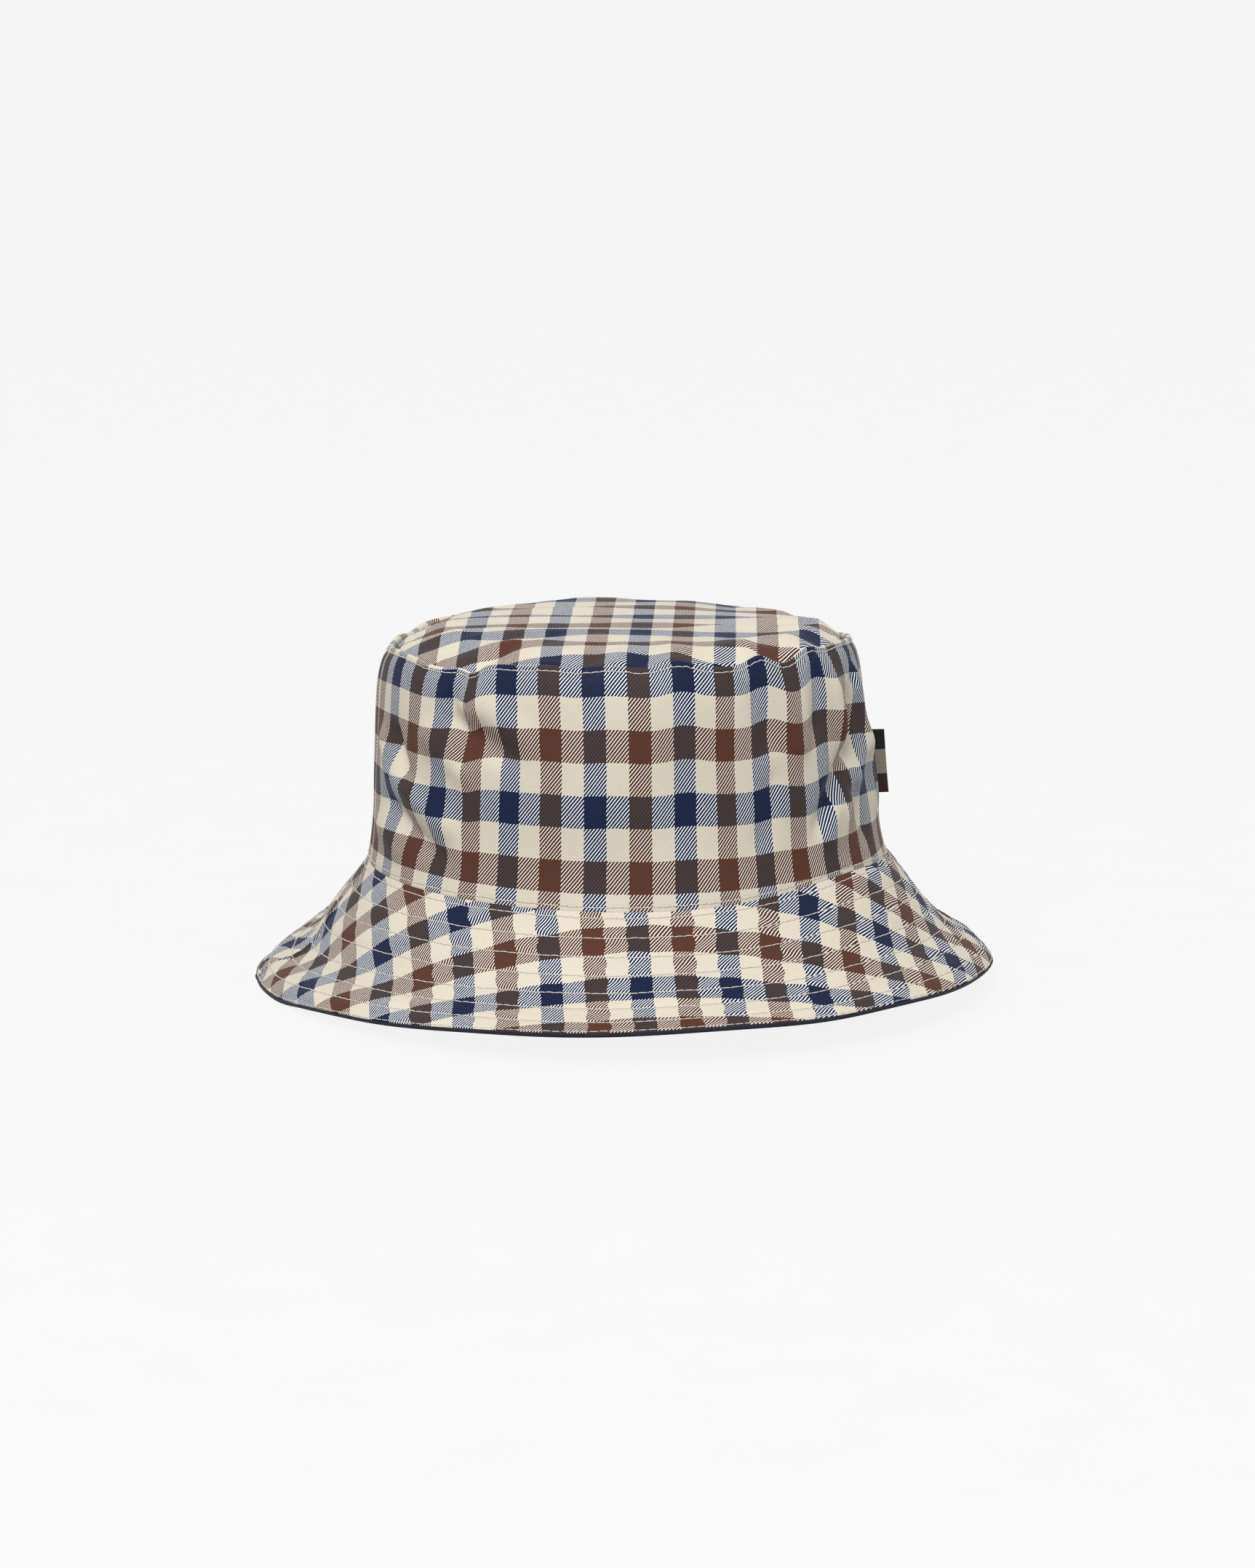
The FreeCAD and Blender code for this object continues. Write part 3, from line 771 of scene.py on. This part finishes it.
class Shader:
    """Short names for building one material's nodes."""

    def __init__(self, name):
        self.material = bpy.data.materials.new(name)
        self.material.use_nodes = True
        self.nodes = self.material.node_tree.nodes
        self.links = self.material.node_tree.links
        self.surface = self.nodes["Principled BSDF"]

    def put(self, socket, value):
        if isinstance(value, bpy.types.NodeSocket):
            self.links.new(value, socket)
        else:
            socket.default_value = value

    def math(self, operation, a, b=0.0):
        node = self.nodes.new("ShaderNodeMath")
        node.operation = operation
        self.put(node.inputs[0], a)
        self.put(node.inputs[1], b)
        return node.outputs[0]

    def scale(self, vector, factor):
        node = self.nodes.new("ShaderNodeVectorMath")
        node.operation = "SCALE"
        self.links.new(vector, node.inputs[0])
        self.links.new(factor, node.inputs["Scale"])
        return node.outputs[0]

    def mix(self, factor, a, b):
        node = self.nodes.new("ShaderNodeMix")
        node.data_type = "RGBA"
        self.put(node.inputs[0], factor)
        self.put(node.inputs[6], a)
        self.put(node.inputs[7], b)
        return node.outputs[2]

    def uv(self, name):
        """The two coordinates of a UV map, in millimetres."""
        node = self.nodes.new("ShaderNodeUVMap")
        node.uv_map = name
        parts = self.nodes.new("ShaderNodeSeparateXYZ")
        self.links.new(node.outputs[0], parts.inputs[0])
        return [self.math("MULTIPLY", parts.outputs[i], 1 / MM) for i in (0, 1)]

    def join(self, x, y):
        node = self.nodes.new("ShaderNodeCombineXYZ")
        self.put(node.inputs[0], x)
        self.put(node.inputs[1], y)
        return node.outputs[0]

    def noise(self, vector, scale, detail=2.0):
        node = self.nodes.new("ShaderNodeTexNoise")
        self.put(node.inputs["Vector"], vector)
        node.inputs["Scale"].default_value = scale
        node.inputs["Detail"].default_value = detail
        return node.outputs[0]

    def spread(self, value, low, high, start=0.3, end=0.7):
        """A value from start to end, such as noise, stretched to run from low to high."""
        node = self.nodes.new("ShaderNodeMapRange")
        self.put(node.inputs[0], value)
        for socket, number in zip(node.inputs[1:5], (start, end, low, high)):
            socket.default_value = number
        return node.outputs[0]

    def off_centre(self, x, period, shift=0.0):
        """The distance from the nearest centre of a repeat."""
        moved = self.math("ADD", self.math("DIVIDE", self.math("ADD", x, shift), period), 0.5)
        there = self.math("SUBTRACT", self.math("FRACT", moved), 0.5)
        return self.math("MULTIPLY", self.math("ABSOLUTE", there), period)

    def below(self, x, limit, soft=0.08):
        """1 where x is under a limit, with a soft edge."""
        gap = self.math("DIVIDE", self.math("SUBTRACT", limit, x), soft)
        node = self.nodes.new("ShaderNodeClamp")
        self.put(node.inputs[0], self.math("ADD", gap, 0.5))
        return node.outputs[0]

    def bump(self, height, distance, strength):
        node = self.nodes.new("ShaderNodeBump")
        node.inputs["Distance"].default_value = distance * MM
        node.inputs["Strength"].default_value = strength
        self.put(node.inputs["Height"], height)
        self.put(self.surface.inputs["Normal"], node.outputs[0])

    def finish(self, colour, roughness, sheen, specular):
        self.put(self.surface.inputs["Base Color"], colour)
        self.put(self.surface.inputs["Roughness"], roughness)
        self.surface.inputs["Sheen Weight"].default_value = sheen
        self.surface.inputs["Sheen Roughness"].default_value = 0.4
        self.surface.inputs["Specular IOR Level"].default_value = specular
        return self.material


CREAM = (0.70, 0.64, 0.53, 1)
NAVY, NAVY_LINE = (0.007, 0.013, 0.046, 1), (0.002, 0.007, 0.034, 1)
BROWN, BROWN_LINE = (0.092, 0.033, 0.020, 1), (0.055, 0.021, 0.013, 1)
BESIDE_NAVY, BESIDE_BROWN = (0.84, 0.88, 0.92, 1), (0.86, 0.76, 0.68, 1)  # between the lines
MIXED_DARK, MIXED_LIGHT = (0.026, 0.016, 0.016, 1), (0.064, 0.045, 0.044, 1)
# The colour of the painted shade inside each needle hole.
HOLE_SHADE = (0.05, 0.035, 0.03, 1)
TWILL_ACROSS, TWILL_UP = COLUMN_PERIOD / 26, 1.56
TWILL_LINE, TWILL_GAP, TWILL_SOFT = 0.315, 0.185, 0.05  # in shares of the twill's period
WANDER = 0.12  # how far the print's edges stray
HOLE_SIZE, HOLE_SOFT, HOLE_DARK = 0.24, 0.2, 0.75
CHECK_WEAVE = (0.42, 0.36)  # the pitch of the check's threads

TAB_BLACK, TAB_SAND = (0.008, 0.009, 0.011, 1), (0.30, 0.255, 0.20, 1)
# The second colour on the next line is a painted highlight for the ribs' crests.
TAB_BROWN, TAB_CREST_HIGHLIGHT = (0.035, 0.016, 0.011, 1), (0.5, 0.48, 0.45, 1)
TAB_TOP_BAND, TAB_BOTTOM_BAND, TAB_RIB = 16.0, 7.0, 0.5  # from where up, to where up, and pitch


def band(s, place_at, period):
    """The two bands of one direction of the check: navy, and brown half a period on."""
    navy = s.below(s.off_centre(place_at, period), period / 8)
    brown = s.below(s.off_centre(place_at, period, period / 2), period / 8)
    return navy, brown, s.math("MAXIMUM", navy, brown)


def check_print(s, across, up):
    """The check's colour, and its diagonal twill."""
    navy_column, brown_column, column = band(s, across, COLUMN_PERIOD)
    navy_row, brown_row, row = band(s, up, ROW_PERIOD)
    step_across, step_up = s.math("DIVIDE", across, TWILL_ACROSS), s.math("DIVIDE", up, TWILL_UP)
    slant = s.off_centre(s.math("SUBTRACT", step_across, step_up), 1.0)
    twill = s.below(slant, TWILL_LINE, TWILL_SOFT)
    between = s.math("SUBTRACT", 1.0, s.below(slant, TWILL_GAP, TWILL_SOFT))
    both = s.math("MULTIPLY", column, row)
    navy = s.math("MAXIMUM", navy_column, navy_row)
    brown = s.math("MAXIMUM", brown_column, brown_row)
    mixed = s.math("MULTIPLY", both, s.math("MULTIPLY", navy, brown))
    dark = s.math("MAXIMUM", s.math("MULTIPLY", column, twill), s.math("MULTIPLY", row, between))
    line = s.mix(navy, BROWN_LINE, NAVY_LINE)
    printed = s.mix(both, line, s.mix(navy, BROWN, NAVY))
    printed = s.mix(mixed, printed, s.mix(twill, MIXED_DARK, MIXED_LIGHT))
    beside = s.mix(navy, BESIDE_BROWN, BESIDE_NAVY)
    ground = s.mix(s.math("MAXIMUM", column, row), CREAM, beside)
    return s.mix(dark, ground, printed), twill


def needle_holes(s):
    """1 at each needle hole along the rows of stitches."""
    along, away = s.uv("rows")
    along_squared = s.math("POWER", s.off_centre(along, STITCH), 2.0)
    away_squared = s.math("POWER", s.off_centre(away, ROW_PITCH), 2.0)
    gap = s.math("SQRT", s.math("ADD", along_squared, away_squared))
    return s.below(gap, HOLE_SIZE, HOLE_SOFT)


def check_cloth():
    """Printed check: columns and rows of navy and brown bands, crossed by a diagonal twill."""
    s = Shader("check_cloth")
    across, up = s.uv("print")
    here = s.join(across, up)
    wander = s.math("MULTIPLY", s.spread(s.noise(here, 0.35), -1.0, 1.0), WANDER)
    across, up = s.math("ADD", across, wander), s.math("ADD", up, wander)
    colour, twill = check_print(s, across, up)
    fine = s.spread(s.noise(here, 3.0, 3.0), 0.93, 1.05)
    wide = s.spread(s.noise(here, 0.03), 0.97, 1.02)
    toned = s.scale(colour, s.math("MULTIPLY", fine, wide))
    pierced = needle_holes(s)
    # Painted shade: the colour is darkened at each needle hole, where the bump also sinks the
    # cloth.
    colour = s.mix(s.math("MULTIPLY", pierced, HOLE_DARK), toned, HOLE_SHADE)
    pitch_across, pitch_up = CHECK_WEAVE
    weave = s.math("MULTIPLY", s.off_centre(across, pitch_across), s.off_centre(up, pitch_up))
    grain = s.math("ADD", s.math("MULTIPLY", weave, 6.0), s.math("MULTIPLY", twill, 0.35))
    s.bump(s.math("SUBTRACT", grain, s.math("MULTIPLY", pierced, 2.0)), 0.05, 0.6)
    rough = s.spread(s.noise(here, 0.6), 0.50, 0.62)
    return s.finish(colour, rough, sheen=0.0, specular=0.13)


def plain_cloth(name, colour, light, pitch=0.5):
    """A plain woven cloth: fine threads both ways, over a slow change of tone."""
    s = Shader(name)
    across, up = s.uv("print")
    here = s.join(across, up)
    thread = s.math("ADD", s.off_centre(across, pitch), s.off_centre(up, pitch))
    fine = s.math("MULTIPLY", s.noise(here, 2.5, 3.0), 0.6)
    tone = s.math("ADD", s.math("MULTIPLY", thread, 0.9 / pitch), fine)
    tone = s.math("ADD", s.math("MULTIPLY", tone, 0.5), s.noise(here, 0.05))
    mixed = s.mix(s.spread(tone, 0.0, 1.0, start=0.6, end=1.5), colour, light)
    s.bump(s.math("MULTIPLY", thread, 1 / pitch), 0.06, 0.8)
    rough = s.spread(s.noise(here, 0.8), 0.66, 0.8)
    return s.finish(mixed, rough, sheen=0.06, specular=0.25)


def thread_material(name, colour, light):
    """Twisted thread: plies that wind round it, with painted shade in the grooves between them."""
    s = Shader(name)
    along, around = s.uv("print")
    wind = s.math("ADD", s.math("MULTIPLY", along, 2.2), s.math("MULTIPLY", around, 1.6))
    ply = s.off_centre(wind, 1.0)
    # Painted shade: the first colour fills the grooves between the plies.
    mixed = s.mix(s.math("MULTIPLY", ply, 2.0), colour, light)
    s.bump(ply, 0.06, 0.9)
    return s.finish(mixed, 0.55, sheen=0.2, specular=0.4)


def ribbon_material():
    """The loop's ribbon: three plain bands one above another, ribbed across, with a painted
    highlight in patches along the ribs' crests.
    """
    s = Shader("tab_ribbon")
    across, up = s.uv("print")
    top = s.below(s.math("SUBTRACT", 0.0, up), -TAB_TOP_BAND)
    bottom = s.below(up, TAB_BOTTOM_BAND)
    colour = s.mix(bottom, s.mix(top, TAB_SAND, TAB_BLACK), TAB_BROWN)
    rib = s.off_centre(up, TAB_RIB)
    fine = s.spread(s.noise(s.join(across, up), 3.0, 3.0), 0.0, 0.35)
    # Painted highlight: lighter in noisy patches along the ribs' crests.
    colour = s.mix(s.math("MULTIPLY", fine, rib), colour, TAB_CREST_HIGHLIGHT)
    s.bump(s.math("MULTIPLY", rib, 4.0), 0.08, 0.9)
    return s.finish(colour, 0.7, sheen=0.0, specular=0.1)


CHECK = check_cloth()
NAVY_CLOTH = plain_cloth("navy_lining", (0.007, 0.008, 0.018, 1), (0.018, 0.020, 0.038, 1))
STIFFENER = plain_cloth("interlining", (0.72, 0.71, 0.67, 1), (0.85, 0.84, 0.80, 1), 0.9)
# Each thread's first colour is painted shade for the grooves between its plies; its second is the
# thread's own colour.
CREAM_THREAD = thread_material("cream_thread", (0.40, 0.36, 0.32, 1), (0.80, 0.75, 0.69, 1))
DARK_THREAD = thread_material("seam_thread", (0.02, 0.022, 0.04, 1), (0.06, 0.065, 0.10, 1))
RIBBON = ribbon_material()
LABEL_CLOTH = plain_cloth("label_ribbon", (0.62, 0.61, 0.58, 1), (0.86, 0.85, 0.82, 1), 0.35)

# ---------------- the pieces

LINING_START, LINING_END = 0.6, WALL_CLOTH - 1.6  # up the wall
TIP_LINING_DEPTH, TIP_LINING_PAST = 0.8, 1.4  # how deep it lies, and how far past the tip's edge
BRIM_MIDDLE = SHELL + 0.12  # the depth of the brim's stiffener
UNDER_HIGH, UNDER_LOW = 1.2, 1.65  # the depths of the under-brim's two faces

# The brim's edge, as (distance past BRIM_WIDE, depth): the check's edge, and the lip of navy
# cloth that rolls up over it.
CHECK_EDGE_HIGH, CHECK_EDGE_LOW = [(-0.3, 0.05), (-0.05, 0.28)], [(-0.35, 0.45), (-0.15, 0.42)]
LIP_LOW = [(-0.1, 1.80), (0.45, 1.65), (0.85, 1.2), (0.9, 0.6), (0.6, 0.15), (0.15, 0.05)]
LIP_HIGH = [(-0.3, 1.15), (-0.05, 1.05), (0.1, 0.9), (0.12, 0.62), (0.1, 0.42), (0.05, 0.3)]
NO_ROWS = (1.5, ROW_PITCH / 2 - 0.25)  # a place with no needle hole near it


def place(piece, body, slot, *nodes, squash=False):
    """Puts a finished piece on its body, in place of its CAD nodes. slot is not used."""
    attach(piece, body)
    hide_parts(*nodes)
    if squash:
        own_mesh(piece)


def hole_count(radius):
    """How many stitches go round at a radius."""
    return np.round(2 * math.pi * radius / STITCH)


def holes_along(phi, radius):
    """How far round a row of stitches an azimuth is, in whole stitches to a turn."""
    return phi / (2 * math.pi) * hole_count(radius) * STITCH


def wall_rows(phi, up):
    """The wall's two rows of needle holes: beside the fold, and under the tip's ridge."""
    nearest = np.where(up < WALL_CLOTH / 2, up - BASE_TOPSTITCH, up - TIP_TOPSTITCH)
    return holes_along(phi, CROWN_ROUND), np.clip(nearest, -4.0, 4.0)


def brim_rows(phi, out):
    """The brim's rows of needle holes, each with a whole number of stitches round."""
    row = np.clip(np.round((out - ROW_FIRST) / ROW_PITCH), 0, ROWS - 1)
    row_out = ROW_FIRST + row * ROW_PITCH
    return holes_along(phi, nominal_radius(row_out)), np.clip(out - row_out, -4.2, 4.2)


def tip_rows(phi, radius):
    """The tip has no needle holes of its own."""
    along, away = NO_ROWS
    return phi * 0 + along, radius * 0 + away


def make_walls():
    """The crown's wall: two panels of check, and the lining's wall inside them."""
    section = sheet_section(WALL_ALONG[0], WALL_ALONG[-1], 0.8, 0.0, SHELL)
    for name, span in (("side_panel_front", FRONT_SPAN), ("side_panel_back", BACK_SPAN)):
        piece = cloth(name + "_cloth", wall, span, section, wall_flat, CHECK, rows=wall_rows)
        place(piece, "root", "check_cloth", name, squash=True)
    section = sheet_section(LINING_START, LINING_END, 1.4, SHELL + LAYER_GAP, LINING)
    piece = cloth("side_lining_cloth", wall, FULL_SPAN, section, wall_flat, NAVY_CLOTH, closed=True)
    place(piece, "root", "navy_lining", "side_lining", squash=True)


def make_tip():
    """The round tip and its lining."""
    span = FULL_SPAN[::2]
    radii = np.concatenate([np.linspace(0.0, 60.0, 60), np.linspace(60.8, TIP_EDGE, 34)])
    section = (at_depth(radii, 0.0), at_depth(radii, SHELL))
    piece = cloth(
        "tip_outer_cloth", tip, span, section, tip_flat, CHECK, closed=True, rows=tip_rows
    )
    clean(piece)
    place(piece, "crown_tip", "check_cloth", "tip_outer")
    radii = np.append(radii, np.linspace(TIP_EDGE + 0.4, TIP_EDGE + TIP_LINING_PAST, 3))
    section = (at_depth(radii, TIP_LINING_DEPTH), at_depth(radii, TIP_LINING_DEPTH + LINING))
    piece = cloth("tip_lining_cloth", tip, span, section, tip_flat, NAVY_CLOTH, closed=True)
    clean(piece)
    place(piece, "crown_tip", "navy_lining", "tip_lining")


def with_edge(path, depth, edge):
    """One side of a brim layer's section: an even depth, then the points of its edge."""
    return np.concatenate([at_depth(path, depth), np.array(edge) + (BRIM_WIDE, 0.0)])


def make_brim():
    """The brim's layers: check above, stiffener between, and navy below with its rolled edge."""
    path = np.concatenate([[-0.6], np.arange(0.0, BRIM_WIDE - 1.0, 0.72), [BRIM_WIDE - 0.7]])
    above = (with_edge(path, 0.0, CHECK_EDGE_HIGH), with_edge(path, SHELL, CHECK_EDGE_LOW))
    path = np.concatenate([np.arange(-2.5, BRIM_WIDE - 1.4, 1.2), [BRIM_WIDE - 0.8]])
    below = (with_edge(path, UNDER_HIGH, LIP_HIGH), with_edge(path, UNDER_LOW, LIP_LOW))
    middle = sheet_section(-0.4, BRIM_WIDE - 0.6, 2.0, BRIM_MIDDLE, 0.4)
    for half, span in (("front", FRONT_SPAN), ("back", BACK_SPAN)):
        for layer, section, material, slot, rows in (
            ("brim_top", above, CHECK, "check_cloth", brim_rows),
            ("brim_interlining", middle, STIFFENER, "interlining", None),
            ("brim_under", below, NAVY_CLOTH, "navy_lining", None),
        ):
            name = f"{layer}_{half}"
            piece = cloth(name + "_cloth", brim, span, section, brim_flat, material, rows=rows)
            place(piece, "root", slot, name)


def ring_of_holes(radius, distance, wobble=0.0):
    """A closed ring of needle holes, a whole number of stitches round."""
    count = int(hole_count(radius))
    turns = (np.arange(count + 1) - count // 2) * 2 * math.pi / count
    away = distance + wobble * (np.sin(turns * 9 + distance) + 0.6 * np.sin(turns * 23))
    return turns, away


def make_rings():
    """The rows of cream stitches that go round the hat."""
    for row in range(ROWS):
        out = ROW_FIRST + row * ROW_PITCH
        line = ring_of_holes(nominal_radius(out), out, 0.10)
        name = f"brim_stitch_row_{row + 1}"
        piece = stitches(name + "_thread", brim, [line], CREAM_THREAD, under=UNDER_LOW)
        place(piece, "root", "cream_thread", name)
    line = ring_of_holes(nominal_radius(BRIM_WIDE), BRIM_WIDE - 0.9)
    piece = stitches("brim_edge_stitch_thread", brim, [line], CREAM_THREAD, 0.05, thick=0.16)
    place(piece, "root", "cream_thread", "brim_edge_stitch")
    for name, up, wobble in (
        ("base_topstitch", BASE_TOPSTITCH, 0.08), ("tip_topstitch", TIP_TOPSTITCH, 0.06),
    ):
        line = ring_of_holes(CROWN_ROUND, up, wobble)
        piece = stitches(name + "_thread", wall, [line], CREAM_THREAD)
        place(piece, "root", "cream_thread", name, squash=True)


def make_seam_threads():
    """The dark stitches inside the side seams of the wall and the brim."""
    up = np.arange(6.0, WALL_CLOTH - 5.0, STITCH)
    out = np.arange(1.0, BRIM_WIDE - 1.0, STITCH)
    for phi, side in ((-QUARTER_TURN, "left"), (QUARTER_TURN, "right")):
        for part, surface, holes, squash in (
            ("side", wall, up, True), ("brim", brim, out, False),
        ):
            name = f"{part}_seam_thread_{side}"
            line = (np.full(len(holes), phi), holes)
            piece = stitches(
                name + "_stitches", surface, [line], DARK_THREAD, SHELL * 0.6, thick=SEAM_THREAD
            )
            place(piece, "root", "seam_thread", name, squash=squash)


def make_tab():
    """The ribbon loop on the right side seam, and the stitches that hold it."""
    levels = np.linspace(0, TAB_TALL, 36)
    path = np.linspace(TAB_TRIM, TAB_LENGTH - TAB_TRIM, 60)
    section = (at_depth(path, 0.0), at_depth(path, TAB_THICK))
    piece = cloth(
        "side_tab_ribbon", tab_ribbon, levels, section, lambda up, along: (along, up), RIBBON
    )
    place(piece, "tab", "tab_ribbon", "side_tab")
    up = np.arange(1.2, TAB_TALL - 0.6, 2.2)
    lines = [(up, np.full(len(up), along)) for along in (1.3, TAB_LENGTH - 1.3)]
    piece = stitches("tab_tack_stitches", tab_ribbon, lines, CREAM_THREAD, thick=FINE_THREAD)
    place(piece, "tab_seat", "cream_thread", "tab_tack")


def make_label():
    """The blank label inside the back of the crown, and its line of stitches."""
    across = np.linspace(-LABEL_WIDE / 2, LABEL_WIDE / 2, 40)
    section = sheet_section(0.0, LABEL_TALL, 0.7, 0.0, LABEL_THICK)
    piece = cloth(
        "inner_label_ribbon", label_ribbon, across, section, lambda a, b: (a, b), LABEL_CLOTH
    )
    place(piece, "label", "label_ribbon", "inner_label")
    holes = np.linspace(-LABEL_WIDE / 2 + 0.6, LABEL_WIDE / 2 - 0.6, 9)
    line = (holes, np.full(len(holes), 1.2))
    piece = stitches("label_stitches", label_inside, [line], CREAM_THREAD, thick=FINE_THREAD)
    place(piece, "label_seat", "cream_thread", "label_stitch")


# ---------------- camera, light and floor

LOOK_AT = Vector((0.0, 0.0, 0.068))
CAMERA_AWAY = 1.5
CAMERA_TURN, CAMERA_RISE = math.radians(-9.0), math.radians(10.5)
LENS = 95.0

# Soft lights: (place, size, power), all turned to the hat's middle.
SOFT_LIGHTS = {
    "key": ((-0.65, -1.52, 1.48), 1.1, 28.8),
    "fill": ((1.6, -1.1, 1.0), 1.5, 2.0),
}
LIT_POINT = (0.0, 0.0, 0.05)
SKY_ABOVE, SKY_BELOW = 0.84, 0.10
SKY_COLOUR = (1.0, 0.995, 0.985, 1)

# The floor's section, (radius, height) in metres: level, then curving up into a far wall.
FLOOR_CUT = [
    (0.0, 0.0), (2.0, 0.0), (6.0, 0.0), (9.0, 0.4), (10.4, 1.6), (11.0, 4.0), (11.2, 9.0),
]
FLOOR_TURNS = 64
FLOOR_GLOW = 0.876
FLOOR_DARK, FLOOR_LIGHT = (0.055, 0.055, 0.055, 1), (0.06, 0.06, 0.06, 1)


def aim(thing, place_at, target):
    thing.location = place_at
    thing.rotation_euler = (Vector(target) - Vector(place_at)).to_track_quat("-Z", "Y").to_euler()


def make_camera():
    data = bpy.data.cameras.new("camera")
    data.lens = LENS
    camera = bpy.data.objects.new("camera", data)
    bpy.context.scene.collection.objects.link(camera)
    level = CAMERA_AWAY * math.cos(CAMERA_RISE)
    across, ahead = level * math.sin(CAMERA_TURN), -level * math.cos(CAMERA_TURN)
    offset = Vector((across, ahead, CAMERA_AWAY * math.sin(CAMERA_RISE)))
    aim(camera, LOOK_AT + offset, LOOK_AT)
    bpy.context.scene.camera = camera


def make_lights():
    for name, (where, size, power) in SOFT_LIGHTS.items():
        data = bpy.data.lights.new(name, "AREA")
        data.shape = "SQUARE"
        data.size = size
        data.energy = power
        lamp = bpy.data.objects.new(name, data)
        bpy.context.scene.collection.objects.link(lamp)
        aim(lamp, where, LIT_POINT)


def make_sky():
    """Even light from all round, stronger from above and weaker from below."""
    world = bpy.data.worlds.new("studio")
    world.use_nodes = True
    nodes, links = world.node_tree.nodes, world.node_tree.links
    where = nodes.new("ShaderNodeTexCoord")
    parts = nodes.new("ShaderNodeSeparateXYZ")
    ramp_node = nodes.new("ShaderNodeMapRange")
    for socket, value in zip(ramp_node.inputs[1:5], (-1.0, 1.0, SKY_BELOW, SKY_ABOVE)):
        socket.default_value = value
    links.new(where.outputs["Generated"], parts.inputs[0])
    links.new(parts.outputs[2], ramp_node.inputs[0])
    links.new(ramp_node.outputs[0], nodes["Background"].inputs["Strength"])
    nodes["Background"].inputs["Color"].default_value = SKY_COLOUR
    bpy.context.scene.world = world


def floor_material():
    """A pale surface that glows evenly, so that it takes only a faint shadow."""
    s = Shader("floor")
    where = s.nodes.new("ShaderNodeNewGeometry").outputs["Position"]
    tone = s.spread(s.noise(where, 30.0), 0.0, 1.0)
    s.surface.inputs["Emission Color"].default_value = (1, 1, 1, 1)
    s.surface.inputs["Emission Strength"].default_value = FLOOR_GLOW
    return s.finish(s.mix(tone, FLOOR_DARK, FLOOR_LIGHT), 0.9, sheen=0.0, specular=0.0)


def make_floor():
    """A pale floor that curves up far away into a pale wall."""
    turns = np.arange(FLOOR_TURNS) * 2 * math.pi / FLOOR_TURNS
    points = [(r * math.cos(t), r * math.sin(t), h) for r, h in FLOOR_CUT for t in turns]
    faces = []
    for k in range(len(FLOOR_CUT) - 1):
        near, far = k * FLOOR_TURNS, (k + 1) * FLOOR_TURNS
        for i in range(FLOOR_TURNS):
            i2 = (i + 1) % FLOOR_TURNS
            faces.append((near + i, near + i2, far + i2, far + i))
    mesh = bpy.data.meshes.new("floor")
    mesh.from_pydata(points, [], faces)
    mesh.materials.append(floor_material())
    floor = bpy.data.objects.new("floor", mesh)
    bpy.context.scene.collection.objects.link(floor)
    floor.visible_diffuse = False
    clean(floor)


make_camera()
make_sky()
make_floor()
make_lights()
bpy.context.scene.view_settings.view_transform = "Standard"

make_walls()
make_tip()
make_brim()
make_rings()
make_seam_threads()
make_tab()
make_label()
